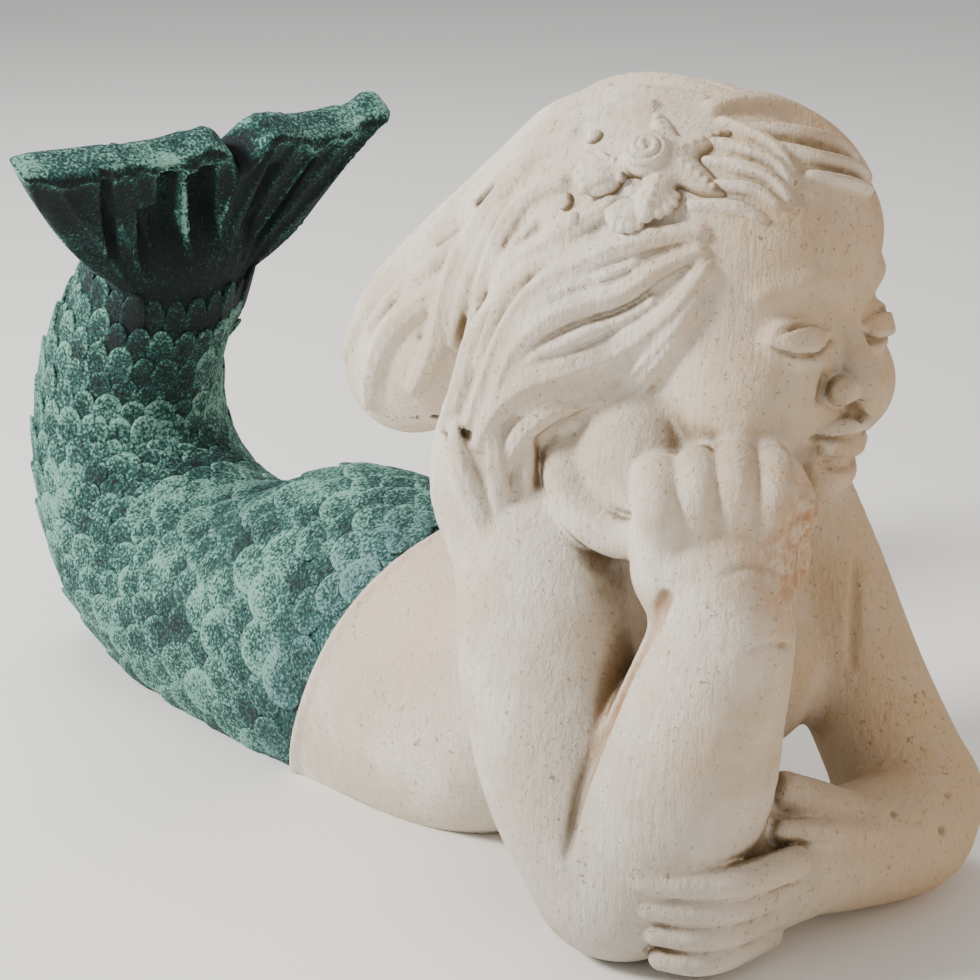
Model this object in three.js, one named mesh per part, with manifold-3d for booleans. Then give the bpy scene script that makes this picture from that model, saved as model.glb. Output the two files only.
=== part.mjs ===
// A mermaid garden statue, cast in one piece in concrete. She lies on her front with her head in
// her hand and her tail raised behind her. Millimetres, +Z up, face towards -Y, tail towards +Y,
// standing on its flat underside.

import * as THREE from "three";
import { mergeVertices } from "three/addons/utils/BufferGeometryUtils.js";
import Module from "manifold-3d";

const wasm = await Module();
wasm.setup();

// Driving dimensions
const headWidth = 102;          // skull across the temples
const headHeight = 112;
const headDepth = 120;
const armRadius = 31;           // upper arm, half its thickness
const fingerRadius = 8;         // fingers of the raised fist
const restingFinger = 5.6;      // fingers of the lower hand
const hipWidth = 124;
const waistHeight = 114;        // top of the back at the waist
const tailRise = 182;           // spine height where the fluke starts
const flukeReach = 71;          // height of the fluke above its root
const nearLobe = 98;            // fluke lobe on her right
const farLobe = 70;
const flukeThickness = 30;
const lockRadius = 7;           // a lock of hair, half its width
const scalePitch = 15;          // from one row of scales to the next
const scaleLift = 2.2;          // how far a scale's tip stands up
const carvingCell = 3.2;        // grid on which the forms are joined
const faceTarget = 9300;        // faces of the finished casting

// Two level directions, across the statue's show side and away from it
const across = new THREE.Vector3(0.743, -0.669, 0);
const away = new THREE.Vector3(0.65, 0.72, 0);

// Every form below is an object with a box, a blend width and a distance function that is
// negative inside it. Forms are joined softly, as clay is.

function boxOf(rows, reach) {
  const box = new THREE.Box3();
  rows.forEach((row, i) => {
    const r = reach(row, i);
    box.expandByPoint(new THREE.Vector3(row[0] - r, row[1] - r, row[2] - r));
    box.expandByPoint(new THREE.Vector3(row[0] + r, row[1] + r, row[2] + r));
  });
  return box;
}

// A smooth curve through rows of numbers: place first, then any other values
function smoothRows(rows, perSpan) {
  const count = (rows.length - 1) * perSpan;
  const width = rows[0].length;
  const curves = [];
  for (let c = 0; c < width; c += 3) {
    const points = rows.map((row) => new THREE.Vector3(row[c], row[c + 1] ?? 0, row[c + 2] ?? 0));
    curves.push(new THREE.CatmullRomCurve3(points, false, "catmullrom", 0.5));
  }
  return Array.from({ length: count + 1 }, (_, i) =>
    curves.flatMap((curve) => curve.getPoint(i / count).toArray()).slice(0, width));
}

function turned(yaw, pitch, roll) {
  const rad = THREE.MathUtils.degToRad;
  return new THREE.Matrix4().makeRotationFromEuler(new THREE.Euler(rad(pitch), rad(roll), rad(yaw), "ZXY"));
}

// An egg with half sizes [x, y, z]
function ball(at, size, { blend = 4, cut = false, turn = null } = {}) {
  const [sx, sy, sz] = size;
  const reach = Math.max(sx, sy, sz);
  const m = (turn ?? new THREE.Matrix4()).elements;
  const distance = (x, y, z) => {
    const dx = x - at[0];
    const dy = y - at[1];
    const dz = z - at[2];
    const a = (dx * m[0] + dy * m[1] + dz * m[2]) / sx;
    const b = (dx * m[4] + dy * m[5] + dz * m[6]) / sy;
    const c = (dx * m[8] + dy * m[9] + dz * m[10]) / sz;
    const k0 = Math.hypot(a, b, c);
    const k1 = Math.hypot(a / sx, b / sy, c / sz);
    return k0 * (k0 - 1) / Math.max(k1, 1e-6);
  };
  return { box: boxOf([at], () => reach), blend, cut, distance };
}

// A round limb along a smooth path, rows of x, y, z, radius
function limb(path, { blend = 4, cut = false } = {}) {
  const rows = path.length > 2 ? smoothRows(path, 5) : path;
  const distance = (x, y, z) => {
    let best = Infinity;
    for (let i = 0; i + 1 < rows.length; i++) {
      const s = rows[i];
      const e = rows[i + 1];
      const ax = e[0] - s[0];
      const ay = e[1] - s[1];
      const az = e[2] - s[2];
      const px = x - s[0];
      const py = y - s[1];
      const pz = z - s[2];
      const squared = Math.max(ax * ax + ay * ay + az * az, 1e-9);
      const t = Math.min(Math.max((px * ax + py * ay + pz * az) / squared, 0), 1);
      best = Math.min(best, Math.hypot(px - t * ax, py - t * ay, pz - t * az) - s[3] - t * (e[3] - s[3]));
    }
    return best;
  };
  return { box: boxOf(rows, (row) => row[3]), blend, cut, distance };
}

// The body and tail along a spine in the YZ plane. Rows are x, y, z, half width, depth above the
// spine, depth below it and how square the lower half is. The relief function raises the skin.
function spineTube(path, { blend = 10, relief = () => 0 } = {}) {
  const rows = smoothRows(path, 8);
  const length = [0];
  for (let i = 1; i < rows.length; i++) {
    length.push(length[i - 1] + Math.hypot(rows[i][1] - rows[i - 1][1], rows[i][2] - rows[i - 1][2]));
  }
  const distance = (x, y, z) => {
    let best = Infinity;
    let found = 0;
    let along = 0;
    let side = 1;
    for (let i = 0; i + 1 < rows.length; i++) {
      const s = rows[i];
      const e = rows[i + 1];
      const ay = e[1] - s[1];
      const az = e[2] - s[2];
      const t = Math.min(Math.max(((y - s[1]) * ay + (z - s[2]) * az) / (ay * ay + az * az), 0), 1);
      const dy = y - s[1] - t * ay;
      const dz = z - s[2] - t * az;
      const d = dy * dy + dz * dz;
      if (d < best) {
        best = d;
        found = i;
        along = t;
        side = dz * ay - dy * az < 0 ? -1 : 1;
      }
    }
    const value = (c) => rows[found][c] + along * (rows[found + 1][c] - rows[found][c]);
    const rx = value(3);
    const rz = side > 0 ? value(4) : value(5);
    const n = side > 0 ? 2 : value(6);
    const off = x - value(0);
    const up = Math.sqrt(best);
    const a = Math.abs(off) / rx + 1e-6;
    const b = up / rz + 1e-6;
    const k0 = (a ** n + b ** n) ** (1 / n);
    const slope = k0 ** (1 - n) * Math.hypot(a ** (n - 1) / rx, b ** (n - 1) / rz);
    const s = length[found] + along * (length[found + 1] - length[found]);
    return (k0 - 1) / slope - relief(s, off / rx, side * up / rz, y, z);
  };
  const reach = (row) => Math.max(row[3], row[4], row[5]);
  return { box: boxOf(rows, reach), blend, cut: false, distance };
}

// A form made in axes of its own, moved to its place
function placed(form, at, turn) {
  const matrix = turn.clone().setPosition(...at);
  const m = matrix.elements;
  const distance = (x, y, z) => {
    const dx = x - at[0];
    const dy = y - at[1];
    const dz = z - at[2];
    return form.distance(dx * m[0] + dy * m[1] + dz * m[2], dx * m[4] + dy * m[5] + dz * m[6],
      dx * m[8] + dy * m[9] + dz * m[10]);
  };
  return { ...form, box: form.box.clone().applyMatrix4(matrix), distance };
}

// Distance to the whole figure
function fieldAt(forms, x, y, z) {
  let d = 40;
  for (const form of forms) {
    const reach = form.blend + 7;
    const { min, max } = form.box;
    if (x < min.x - reach || x > max.x + reach || y < min.y - reach || y > max.y + reach
        || z < min.z - reach || z > max.z + reach) {
      continue;
    }
    const v = form.distance(x, y, z);
    const k = form.blend;
    if (form.cut) {
      const h = Math.max(k - Math.abs(d + v), 0) / k;
      d = Math.max(d, -v) + h * h * k / 4;
    } else {
      const h = Math.max(k - Math.abs(d - v), 0) / k;
      d = Math.min(d, v) - h * h * k / 4;
    }
  }
  return d;
}

// Lays the points of a path on the skin of some forms, sunk by a part of the path's own radius
function laid(path, forms, sink = 0.3) {
  return path.map(([x, y, z, r]) => {
    for (let i = 0; i < 12; i++) {
      const d = fieldAt(forms, x, y, z);
      const g = new THREE.Vector3(fieldAt(forms, x + 1, y, z) - d, fieldAt(forms, x, y + 1, z) - d,
        fieldAt(forms, x, y, z + 1) - d);
      g.normalize().multiplyScalar(-(d + sink * r) * 0.8);
      x += g.x;
      y += g.y;
      z += g.z;
    }
    return [x, y, z, r];
  });
}

// Body and tail: one spine from the shoulders to the root of the fluke
const spine = [
  [2, 50, 112, 56, 34, 36, 2],
  [2, 84, 84, 66, 46, 60, 2.6],
  [0, 132, waistHeight - 60, 64, 60, 66, 2.8],
  [0, 182, 40, hipWidth / 2, 74, 72, 2.2],
  [0, 226, 36, hipWidth / 2, 74, 74, 2],
  [0, 272, 32, 61, 60, 62, 2],
  [0, 318, 34, 58, 53, 55, 2],
  [0, 360, 50, 54, 51, 50, 2],
  [0, 383, 84, 48, 46, 42, 2],
  [0, 382, 124, 43, 41, 36, 2],
  [0, 364, 158, 39, 36, 31, 2],
  [0, 348, tailRise, 38, 26, 24, 2],
];
const waistSlope = 0.48;        // the waist line leans forward as it rises
const waistAtGround = 201;
const scalesAround = 24;

// How far a point lies behind the waist line
const behindWaist = (y, z) => y + waistSlope * z - waistAtGround;

// Height of the overlapping scales: each one rises towards its round free edge
function scaleHeight(along, turns) {
  const bulge = 0.55;
  const row = along / scalePitch;
  let i = Math.floor(row - bulge) - 1;
  while (true) {
    const column = turns * scalesAround + (i & 1) / 2;
    const off = 2 * (column - Math.floor(column) - 0.5);
    const tip = i + 1 + bulge * Math.sqrt(Math.max(1 - off * off, 0));
    if (row < tip) {
      return scaleLift * Math.max(1 - (tip - row) / 1.3, 0);
    }
    i += 1;
  }
}

function tailRelief(along, acrossSpine, aboveSpine, y, z) {
  const behind = behindWaist(y, z);
  if (behind < 0) {
    return 1.4 * Math.exp(-(((behind + 3) / 2.5) ** 2));
  }
  const turns = Math.atan2(acrossSpine, aboveSpine) / (2 * Math.PI);
  return scaleHeight(along, turns) * Math.min(behind / 4, 1) - 0.6;
}

function bodyForms() {
  return [
    spineTube(spine, { blend: 10, relief: tailRelief }),
    ball([6, 54, 88], [54, 36, 47], { blend: 10 }),
    limb([[2, 62, 112, 40], [10, 42, 94, 36], [20, 27, 75, 30]], { blend: 16 }),
    limb([[2, 62, 130, 34], [4, 48, 158, 30], [4, 40, 185, 30]], { blend: 14 }),
  ];
}

// The fluke: a thick leaning slab with a notched top edge, hollow flutes and two pointed lobes
function fluke() {
  const root = new THREE.Vector3(7, 346, tailRise - 4);
  const lean = THREE.MathUtils.degToRad(35);
  const up = new THREE.Vector3(0, -Math.sin(lean), Math.cos(lean));
  const front = new THREE.Vector3(0, -Math.cos(lean), -Math.sin(lean));
  const fluteCount = 13;
  const fluteDepth = 2.2;
  const distance = (x, y, z) => {
    const dy = y - root.y;
    const dz = z - root.z;
    const side = x - root.x;
    const u = Math.abs(side);
    const v = dy * up.y + dz * up.z;
    const w = dy * front.y + dz * front.z;
    const far = side > 0;
    const outer = Math.max(u - 60, 0);
    const crest = flukeReach + 5 * Math.exp(-(((u - 16) / 14) ** 2)) - 9 * Math.exp(-((u / 6) ** 2));
    const top = far ? crest + 4 * Math.min(outer / 14, 1) ** 2 : crest - 3 - outer / 13;
    const rise = Math.max(v + (far ? 12 : 14), 0) / 70;
    const edge = far ? farLobe * 1.06 * rise ** 0.4 : nearLobe * rise ** 0.5;
    const plan = Math.max(v - top, (u - Math.max(edge, 32)) * 0.75);
    const angle = Math.atan2(side, v + 42);
    const fade = Math.min(Math.max((v + 12) / 25, 0), 1);
    const flute = fluteDepth * fade * Math.cos(angle * fluteCount * 2);
    const half = flukeThickness / 2 - 4 * Math.min(Math.max(v / 60, 0), 1);
    const slab = (Math.abs(w + 6 * (u / 90) ** 2) - half - flute) * 0.9;
    const h = Math.max(8 - Math.abs(plan - slab), 0) / 8;
    return Math.max(plan, slab) + 2 * h * h;
  };
  const box = new THREE.Box3(new THREE.Vector3(-106, 270, 150), new THREE.Vector3(104, 385, 268));
  return { box, blend: 8, cut: false, distance };
}

// Arms: her right elbow stands on the ground and the fist carries her cheek. The left forearm lies
// along the ground and its hand holds the right elbow.
function handPoint(at, toSide, rise, behind, radius) {
  const p = new THREE.Vector3(...at).addScaledVector(across, toSide).addScaledVector(away, behind);
  return [p.x, p.y, p.z + rise, radius];
}

function fistForms() {
  const at = [-43, -18, 158];
  const palm = handPoint(at, 0, -4, 0, 0).slice(0, 3);
  const forms = [ball(palm, [24, 17, 22], { blend: 8, turn: turned(-42, 0, 0) })];
  [13, 17, 18, 15].forEach((knuckle, i) => {
    const side = -18.5 + 12 * i;
    forms.push(limb([
      handPoint(at, side * 0.75, -6, -9, fingerRadius - 0.5),
      handPoint(at, side, knuckle - 3, -11, fingerRadius),
      handPoint(at, side + 1, knuckle + 1, 2, fingerRadius - 0.3),
      handPoint(at, side + 1, knuckle - 14, 14, fingerRadius - 1.5),
    ], { blend: 1.5 }));
  });
  return forms;
}

function restingHandForms() {
  const forms = [
    ball([-34, -29, 31], [30, 16, 22], { blend: 6, turn: turned(-10, -14, 0) }),
    limb([[12, -38, 36, 12], [-2, -36, 46, 11], [-16, -30, 56, 8]], { blend: 5 }),
  ];
  for (let i = 0; i < 4; i++) {
    const z = 41 - 9.5 * i;
    forms.push(limb([
      [-38, -45 + 4 * i, z - 1, restingFinger + 0.6],
      [-54, -41 + 3 * i, z, restingFinger + 0.4],
      [-65 + 1.5 * i, -30 + i, z, restingFinger],
      [-72 + 3 * i, -21, z, restingFinger - 1],
    ], { blend: 1.6 }));
  }
  return forms;
}

function armForms() {
  const rightUpper = [
    [-50, 54, 136, 30], [-63, 42, 106, armRadius], [-67, 25, 64, armRadius], [-62, 5, 30, 31],
  ];
  const rightFore = [
    [-61, 2, 30, 31], [-54, -13, 62, 33], [-49, -21, 94, 28], [-44, -25, 122, 24], [-42, -22, 140, 22],
  ];
  const leftUpper = [[54, 44, 132, 30], [62, 27, 104, 26], [65, 4, 66, 24.5], [66, -20, 30, 26]];
  const leftFore = [[65, -22, 25.5, 27], [46, -33, 24, 24], [16, -34, 27, 22], [-10, -32, 30, 20]];
  return [
    limb(rightUpper, { blend: 12 }),
    limb(leftUpper, { blend: 12 }),
    limb(leftFore, { blend: 6 }),
    limb(rightFore, { blend: 4 }),
    ...fistForms(),
    ...restingHandForms(),
  ];
}

// Head, in axes of its own: origin at the middle of the skull, face towards -Y
const headAt = [6, 31, 221];
const headTurn = turned(6, -4, 4);

function headForms() {
  const [w, d, h] = [headWidth / 2, headDepth / 2, headHeight / 2];
  const forms = [
    ball([0, 4, 8], [w, d, h], { blend: 10 }),
    ball([0, -14, -24], [45, 43, 44], { blend: 14 }),
    ball([0, -44, -56], [14, 13, 11], { blend: 8 }),
    ball([-2, -20, 20], [38, 41, 35], { blend: 14 }),
    limb([[0, -54, -2, 5], [0, -60, -16, 5.5], [0, -66, -27, 6.5]], { blend: 5 }),
    ball([0, -50, -41], [16, 11, 10], { blend: 8 }),
    limb([[-12, -56, -43, 2.2], [-4, -61, -41, 3], [4, -61, -41, 3], [12, -56, -43, 2.2]], { blend: 2 }),
    limb([[-9, -56, -46, 2.4], [0, -60.5, -48.5, 3.2], [9, -56, -46, 2.4]], { blend: 2 }),
  ];
  for (const s of [-1, 1]) {
    forms.push(
      ball([s * 26, -36, -32], [21, 19, 20], { blend: 10 }),
      ball([s * 21, -67, -7], [15, 12, 10], { blend: 8, cut: true }),
      ball([s * 21, -49, -10], [13, 9, 9.5], { blend: 3 }),
      ball([s * 7, -60, -29], [5, 6, 5], { blend: 3 }),
    );
  }
  forms.push(ball([-4, 17, 16], [53, 62, 54], { blend: 5 }));
  return forms.map((form) => placed(form, headAt, headTurn));
}

// Hair: a swept-back mass behind the skull, falls on both shoulders, and locks laid on all of it
function hairMass() {
  return [
    limb([[0, 66, 236, 45], [-8, 106, 212, 40], [-16, 142, 187, 34], [-21, 160, 172, 26]], { blend: 14 }),
    limb([[-42, 50, 210, 25], [-54, 66, 180, 25], [-60, 72, 152, 22], [-60, 66, 130, 15]], { blend: 10 }),
    limb([[45, 48, 210, 24], [52, 70, 175, 24], [50, 76, 145, 20]], { blend: 10 }),
    limb([[0, 66, 200, 42], [0, 78, 165, 36], [0, 86, 140, 30]], { blend: 12 }),
  ];
}

// Locks as rows of x, y, z along their length, from the brow backwards
const templeLocks = [
  [
    [-15, -12, 265], [-35, 0, 255], [-45, 15, 245], [-50, 30, 230],
    [-62, 38, 212], [-73, 52, 195], [-80, 68, 180],
  ],
  [
    [-25, -12, 255], [-35, 0, 243], [-45, 17, 222], [-55, 30, 203],
    [-65, 43, 180], [-72, 50, 160], [-80, 50, 142],
  ],
  [[-32, -8, 240], [-38, 2, 232], [-42, 15, 207], [-45, 25, 185], [-52, 40, 165], [-65, 34, 150]],
  [[-37, 0, 220], [-40, 12, 198], [-38, 28, 178], [-42, 37, 160]],
  [[-35, 5, 258], [-46, 25, 252], [-55, 44, 235], [-67, 50, 215], [-70, 72, 197], [-60, 105, 182]],
];
const crownLocks = [
  [[-48, 32, 254], [-54, 55, 245], [-52, 78, 225], [-50, 107, 200], [-44, 140, 172]],
  [[-48, 50, 262], [-51, 78, 242], [-49, 112, 218], [-48, 144, 194], [-43, 160, 166]],
  [[-38, 60, 276], [-45, 90, 250], [-45, 123, 227], [-46, 150, 200], [-44, 168, 172]],
  [[-2, 30, 290], [-18, 44, 289], [-34, 62, 280], [-42, 82, 260], [-40, 112, 240]],
  [[5, 10, 288], [0, 50, 290], [-8, 90, 270], [-20, 130, 240], [-28, 160, 205], [-28, 178, 178]],
  [[22, 12, 284], [22, 55, 284], [15, 95, 262], [5, 135, 232], [-5, 165, 195]],
  [[36, 20, 275], [38, 60, 272], [32, 95, 250], [22, 130, 222], [8, 160, 188]],
  [[46, 25, 262], [50, 60, 255], [48, 90, 232], [38, 120, 208], [20, 150, 180]],
];
const browCurl = [
  [-8, 20, 287], [12, 10, 285], [26, 0, 278], [31, -10, 269], [18, -20, 264], [4, -20, 266],
];
const shoulderLocks = [
  [[-80, 62, 178], [-79, 58, 155], [-82, 45, 138]],
  [[-70, 47, 182], [-72, 45, 157], [-78, 36, 138]],
  [[-52, 42, 172], [-54, 34, 155]],
];

function lockForms(skin) {
  const mirrored = templeLocks.map((path) => path.map(([x, y, z]) => [4 - x, y + 14, z - 2]));
  const swept = [...templeLocks, ...mirrored, ...crownLocks, ...shoulderLocks];
  const taper = (i, count) => lockRadius * (0.65 + 0.5 * Math.sin(Math.PI * (i + 0.6) / count));
  const forms = [...swept, browCurl].map((path) => {
    const rows = path.map(([x, y, z], i) => [x, y, z, taper(i, path.length)]);
    return limb(laid(rows, skin), { blend: 3 });
  });
  return forms;
}

// A starfish and two rosettes set in the hair over her right temple
function hairOrnaments(skin) {
  const forms = [];
  const normal = new THREE.Vector3(-0.54, -0.36, 0.76);
  const side = new THREE.Vector3(0.55, -0.83, 0).normalize();
  const rise = new THREE.Vector3().crossVectors(side, normal).multiplyScalar(-1);
  const around = (at, angle, radius, lift, r) => {
    const p = new THREE.Vector3(...at).addScaledVector(side, radius * Math.cos(angle));
    p.addScaledVector(rise, radius * Math.sin(angle)).addScaledVector(normal, lift);
    return [p.x, p.y, p.z, r];
  };
  const star = [-25, 10, 272];
  for (let i = 0; i < 5; i++) {
    const angle = 2 * Math.PI * (i + 0.35) / 5;
    forms.push(limb([around(star, angle, 0, 4, 6), around(star, angle, 16, 2, 2.2)], { blend: 2 }));
  }
  for (const [at, radius] of [[[-36, 24, 270], 7], [[-44, 37, 264], 6]]) {
    for (let i = 0; i < 5; i++) {
      const angle = 2 * Math.PI * i / 5;
      const petal = around(at, angle, radius, 2, 0).slice(0, 3);
      forms.push(ball(petal, [4, 4, 4], { blend: 1.5 }));
    }
    forms.push(ball(around(at, 0, 0, 4, 0).slice(0, 3), [3, 3, 3], { blend: 1 }));
  }
  return forms;
}

function figureForms() {
  const head = headForms();
  const hair = hairMass();
  const skin = [...head, ...hair];
  // What reaches below the ground is taken off in the clay, a little low, and cut true at the end
  const below = new THREE.Box3(new THREE.Vector3(-500, -500, -90), new THREE.Vector3(500, 500, -4));
  const spare = { box: below, blend: 2, cut: true, distance: (x, y, z) => z + 4 };
  return [
    ...bodyForms(),
    fluke(),
    ...armForms(),
    ...skin,
    ...lockForms(skin),
    ...hairOrnaments(skin),
    spare,
  ];
}

// Distances on a grid: sparse where the skin is far, exact near it
function sampled(forms, low, size) {
  const coarse = 2;
  const counts = size.map((s) => Math.ceil(s / carvingCell / coarse));
  const n = counts.map((c) => c * coarse + 1);
  const values = new Float32Array(n[0] * n[1] * n[2]).fill(NaN);
  const at = (i, j, k) => (i * n[1] + j) * n[2] + k;
  const valueAt = (i, j, k) => {
    const index = at(i, j, k);
    if (Number.isNaN(values[index])) {
      const [x, y, z] = [i, j, k].map((step, d) => low[d] + step * carvingCell);
      values[index] = fieldAt(forms, x, y, z);
    }
    return values[index];
  };
  const blocks = [];
  const near = carvingCell * coarse;
  for (let i = 0; i < counts[0]; i++) {
    for (let j = 0; j < counts[1]; j++) {
      for (let k = 0; k < counts[2]; k++) {
        let smallest = Infinity;
        let inside = 0;
        for (let c = 0; c < 8; c++) {
          const v = valueAt((i + (c & 1)) * coarse, (j + ((c >> 1) & 1)) * coarse, (k + (c >> 2)) * coarse);
          smallest = Math.min(smallest, Math.abs(v));
          inside += v < 0 ? 1 : 0;
        }
        if (smallest < near || (inside > 0 && inside < 8)) {
          blocks.push([i * coarse, j * coarse, k * coarse]);
        }
      }
    }
  }
  return { blocks, coarse, valueAt, at };
}

// The six tetrahedra of a cell, as steps along the axes from its lowest corner to its highest
const cellPaths = [[1, 2, 4], [1, 4, 2], [2, 1, 4], [2, 4, 1], [4, 1, 2], [4, 2, 1]]
  .map(([a, b]) => [0, a, a | b, 7]);

// More corners than the grid has, so the numbers of two corners make one key
const mostCorners = 4e7;

// Closed skin where the distance changes sign
function skinOf(forms, low, size) {
  const { blocks, coarse, valueAt, at } = sampled(forms, low, size);
  const points = [];
  const faces = [];
  const known = new Map();
  const cornerOf = (i, j, k, c) => {
    const [ci, cj, ck] = [i + (c & 1), j + ((c >> 1) & 1), k + (c >> 2)];
    return { place: [ci, cj, ck], index: at(ci, cj, ck), value: valueAt(ci, cj, ck) };
  };
  const crossing = (inner, outer) => {
    const lesser = Math.min(inner.index, outer.index);
    const greater = Math.max(inner.index, outer.index);
    const key = lesser * mostCorners + greater;
    let found = known.get(key);
    if (found === undefined) {
      const t = Math.min(Math.max(inner.value / (inner.value - outer.value), 0.04), 0.96);
      found = points.length / 3;
      for (let c = 0; c < 3; c++) {
        points.push(low[c] + carvingCell * (inner.place[c] + t * (outer.place[c] - inner.place[c])));
      }
      known.set(key, found);
    }
    return found;
  };
  const middleOf = ([inner, outer], d) => inner.place[d] + outer.place[d];
  const addFace = (edges, outward) => {
    const e = [0, 1, 2].map((d) => middleOf(edges[1], d) - middleOf(edges[0], d));
    const f = [0, 1, 2].map((d) => middleOf(edges[2], d) - middleOf(edges[0], d));
    const dot = (e[1] * f[2] - e[2] * f[1]) * outward[0] + (e[2] * f[0] - e[0] * f[2]) * outward[1]
      + (e[0] * f[1] - e[1] * f[0]) * outward[2];
    const [a, b, c] = edges.map(([inner, outer]) => crossing(inner, outer));
    faces.push(dot > 0 ? [a, b, c] : [a, c, b]);
  };
  for (const [bi, bj, bk] of blocks) {
    for (let s = 0; s < coarse ** 3; s++) {
      const i = bi + s % coarse;
      const j = bj + Math.floor(s / coarse) % coarse;
      const k = bk + Math.floor(s / coarse / coarse);
      const corners = Array.from({ length: 8 }, (_, c) => cornerOf(i, j, k, c));
      const insideCount = corners.filter((c) => c.value < 0).length;
      if (insideCount === 0 || insideCount === 8) {
        continue;
      }
      for (const path of cellPaths) {
        const inner = path.map((c) => corners[c]).filter((c) => c.value < 0);
        const outer = path.map((c) => corners[c]).filter((c) => c.value >= 0);
        if (inner.length === 0 || outer.length === 0) {
          continue;
        }
        const mean = (list, d) => list.reduce((sum, c) => sum + c.place[d], 0) / list.length;
        const outward = [0, 1, 2].map((d) => mean(outer, d) - mean(inner, d));
        if (inner.length === 2) {
          const ring = [[0, 0], [0, 1], [1, 1], [1, 0]].map(([m, n]) => [inner[m], outer[n]]);
          addFace([ring[0], ring[1], ring[2]], outward);
          addFace([ring[0], ring[2], ring[3]], outward);
        } else {
          addFace(inner.flatMap((p) => outer.map((q) => [p, q])), outward);
        }
      }
    }
  }
  return { points, faces };
}

// Smallest-first queue of [cost, ...] entries
class Queue {
  items = [];

  push(item) {
    const list = this.items;
    let i = list.length;
    list.push(item);
    while (i > 0) {
      const parent = (i - 1) >> 1;
      if (list[parent][0] <= item[0]) {
        break;
      }
      list[i] = list[parent];
      i = parent;
    }
    list[i] = item;
  }

  pop() {
    const list = this.items;
    const first = list[0];
    const item = list.pop();
    const count = list.length;
    let i = 0;
    while (count > 0) {
      let child = 2 * i + 1;
      if (child >= count) {
        break;
      }
      if (child + 1 < count && list[child + 1][0] < list[child][0]) {
        child += 1;
      }
      if (list[child][0] >= item[0]) {
        break;
      }
      list[i] = list[child];
      i = child;
    }
    if (count > 0) {
      list[i] = item;
    }
    return first;
  }
}

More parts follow.
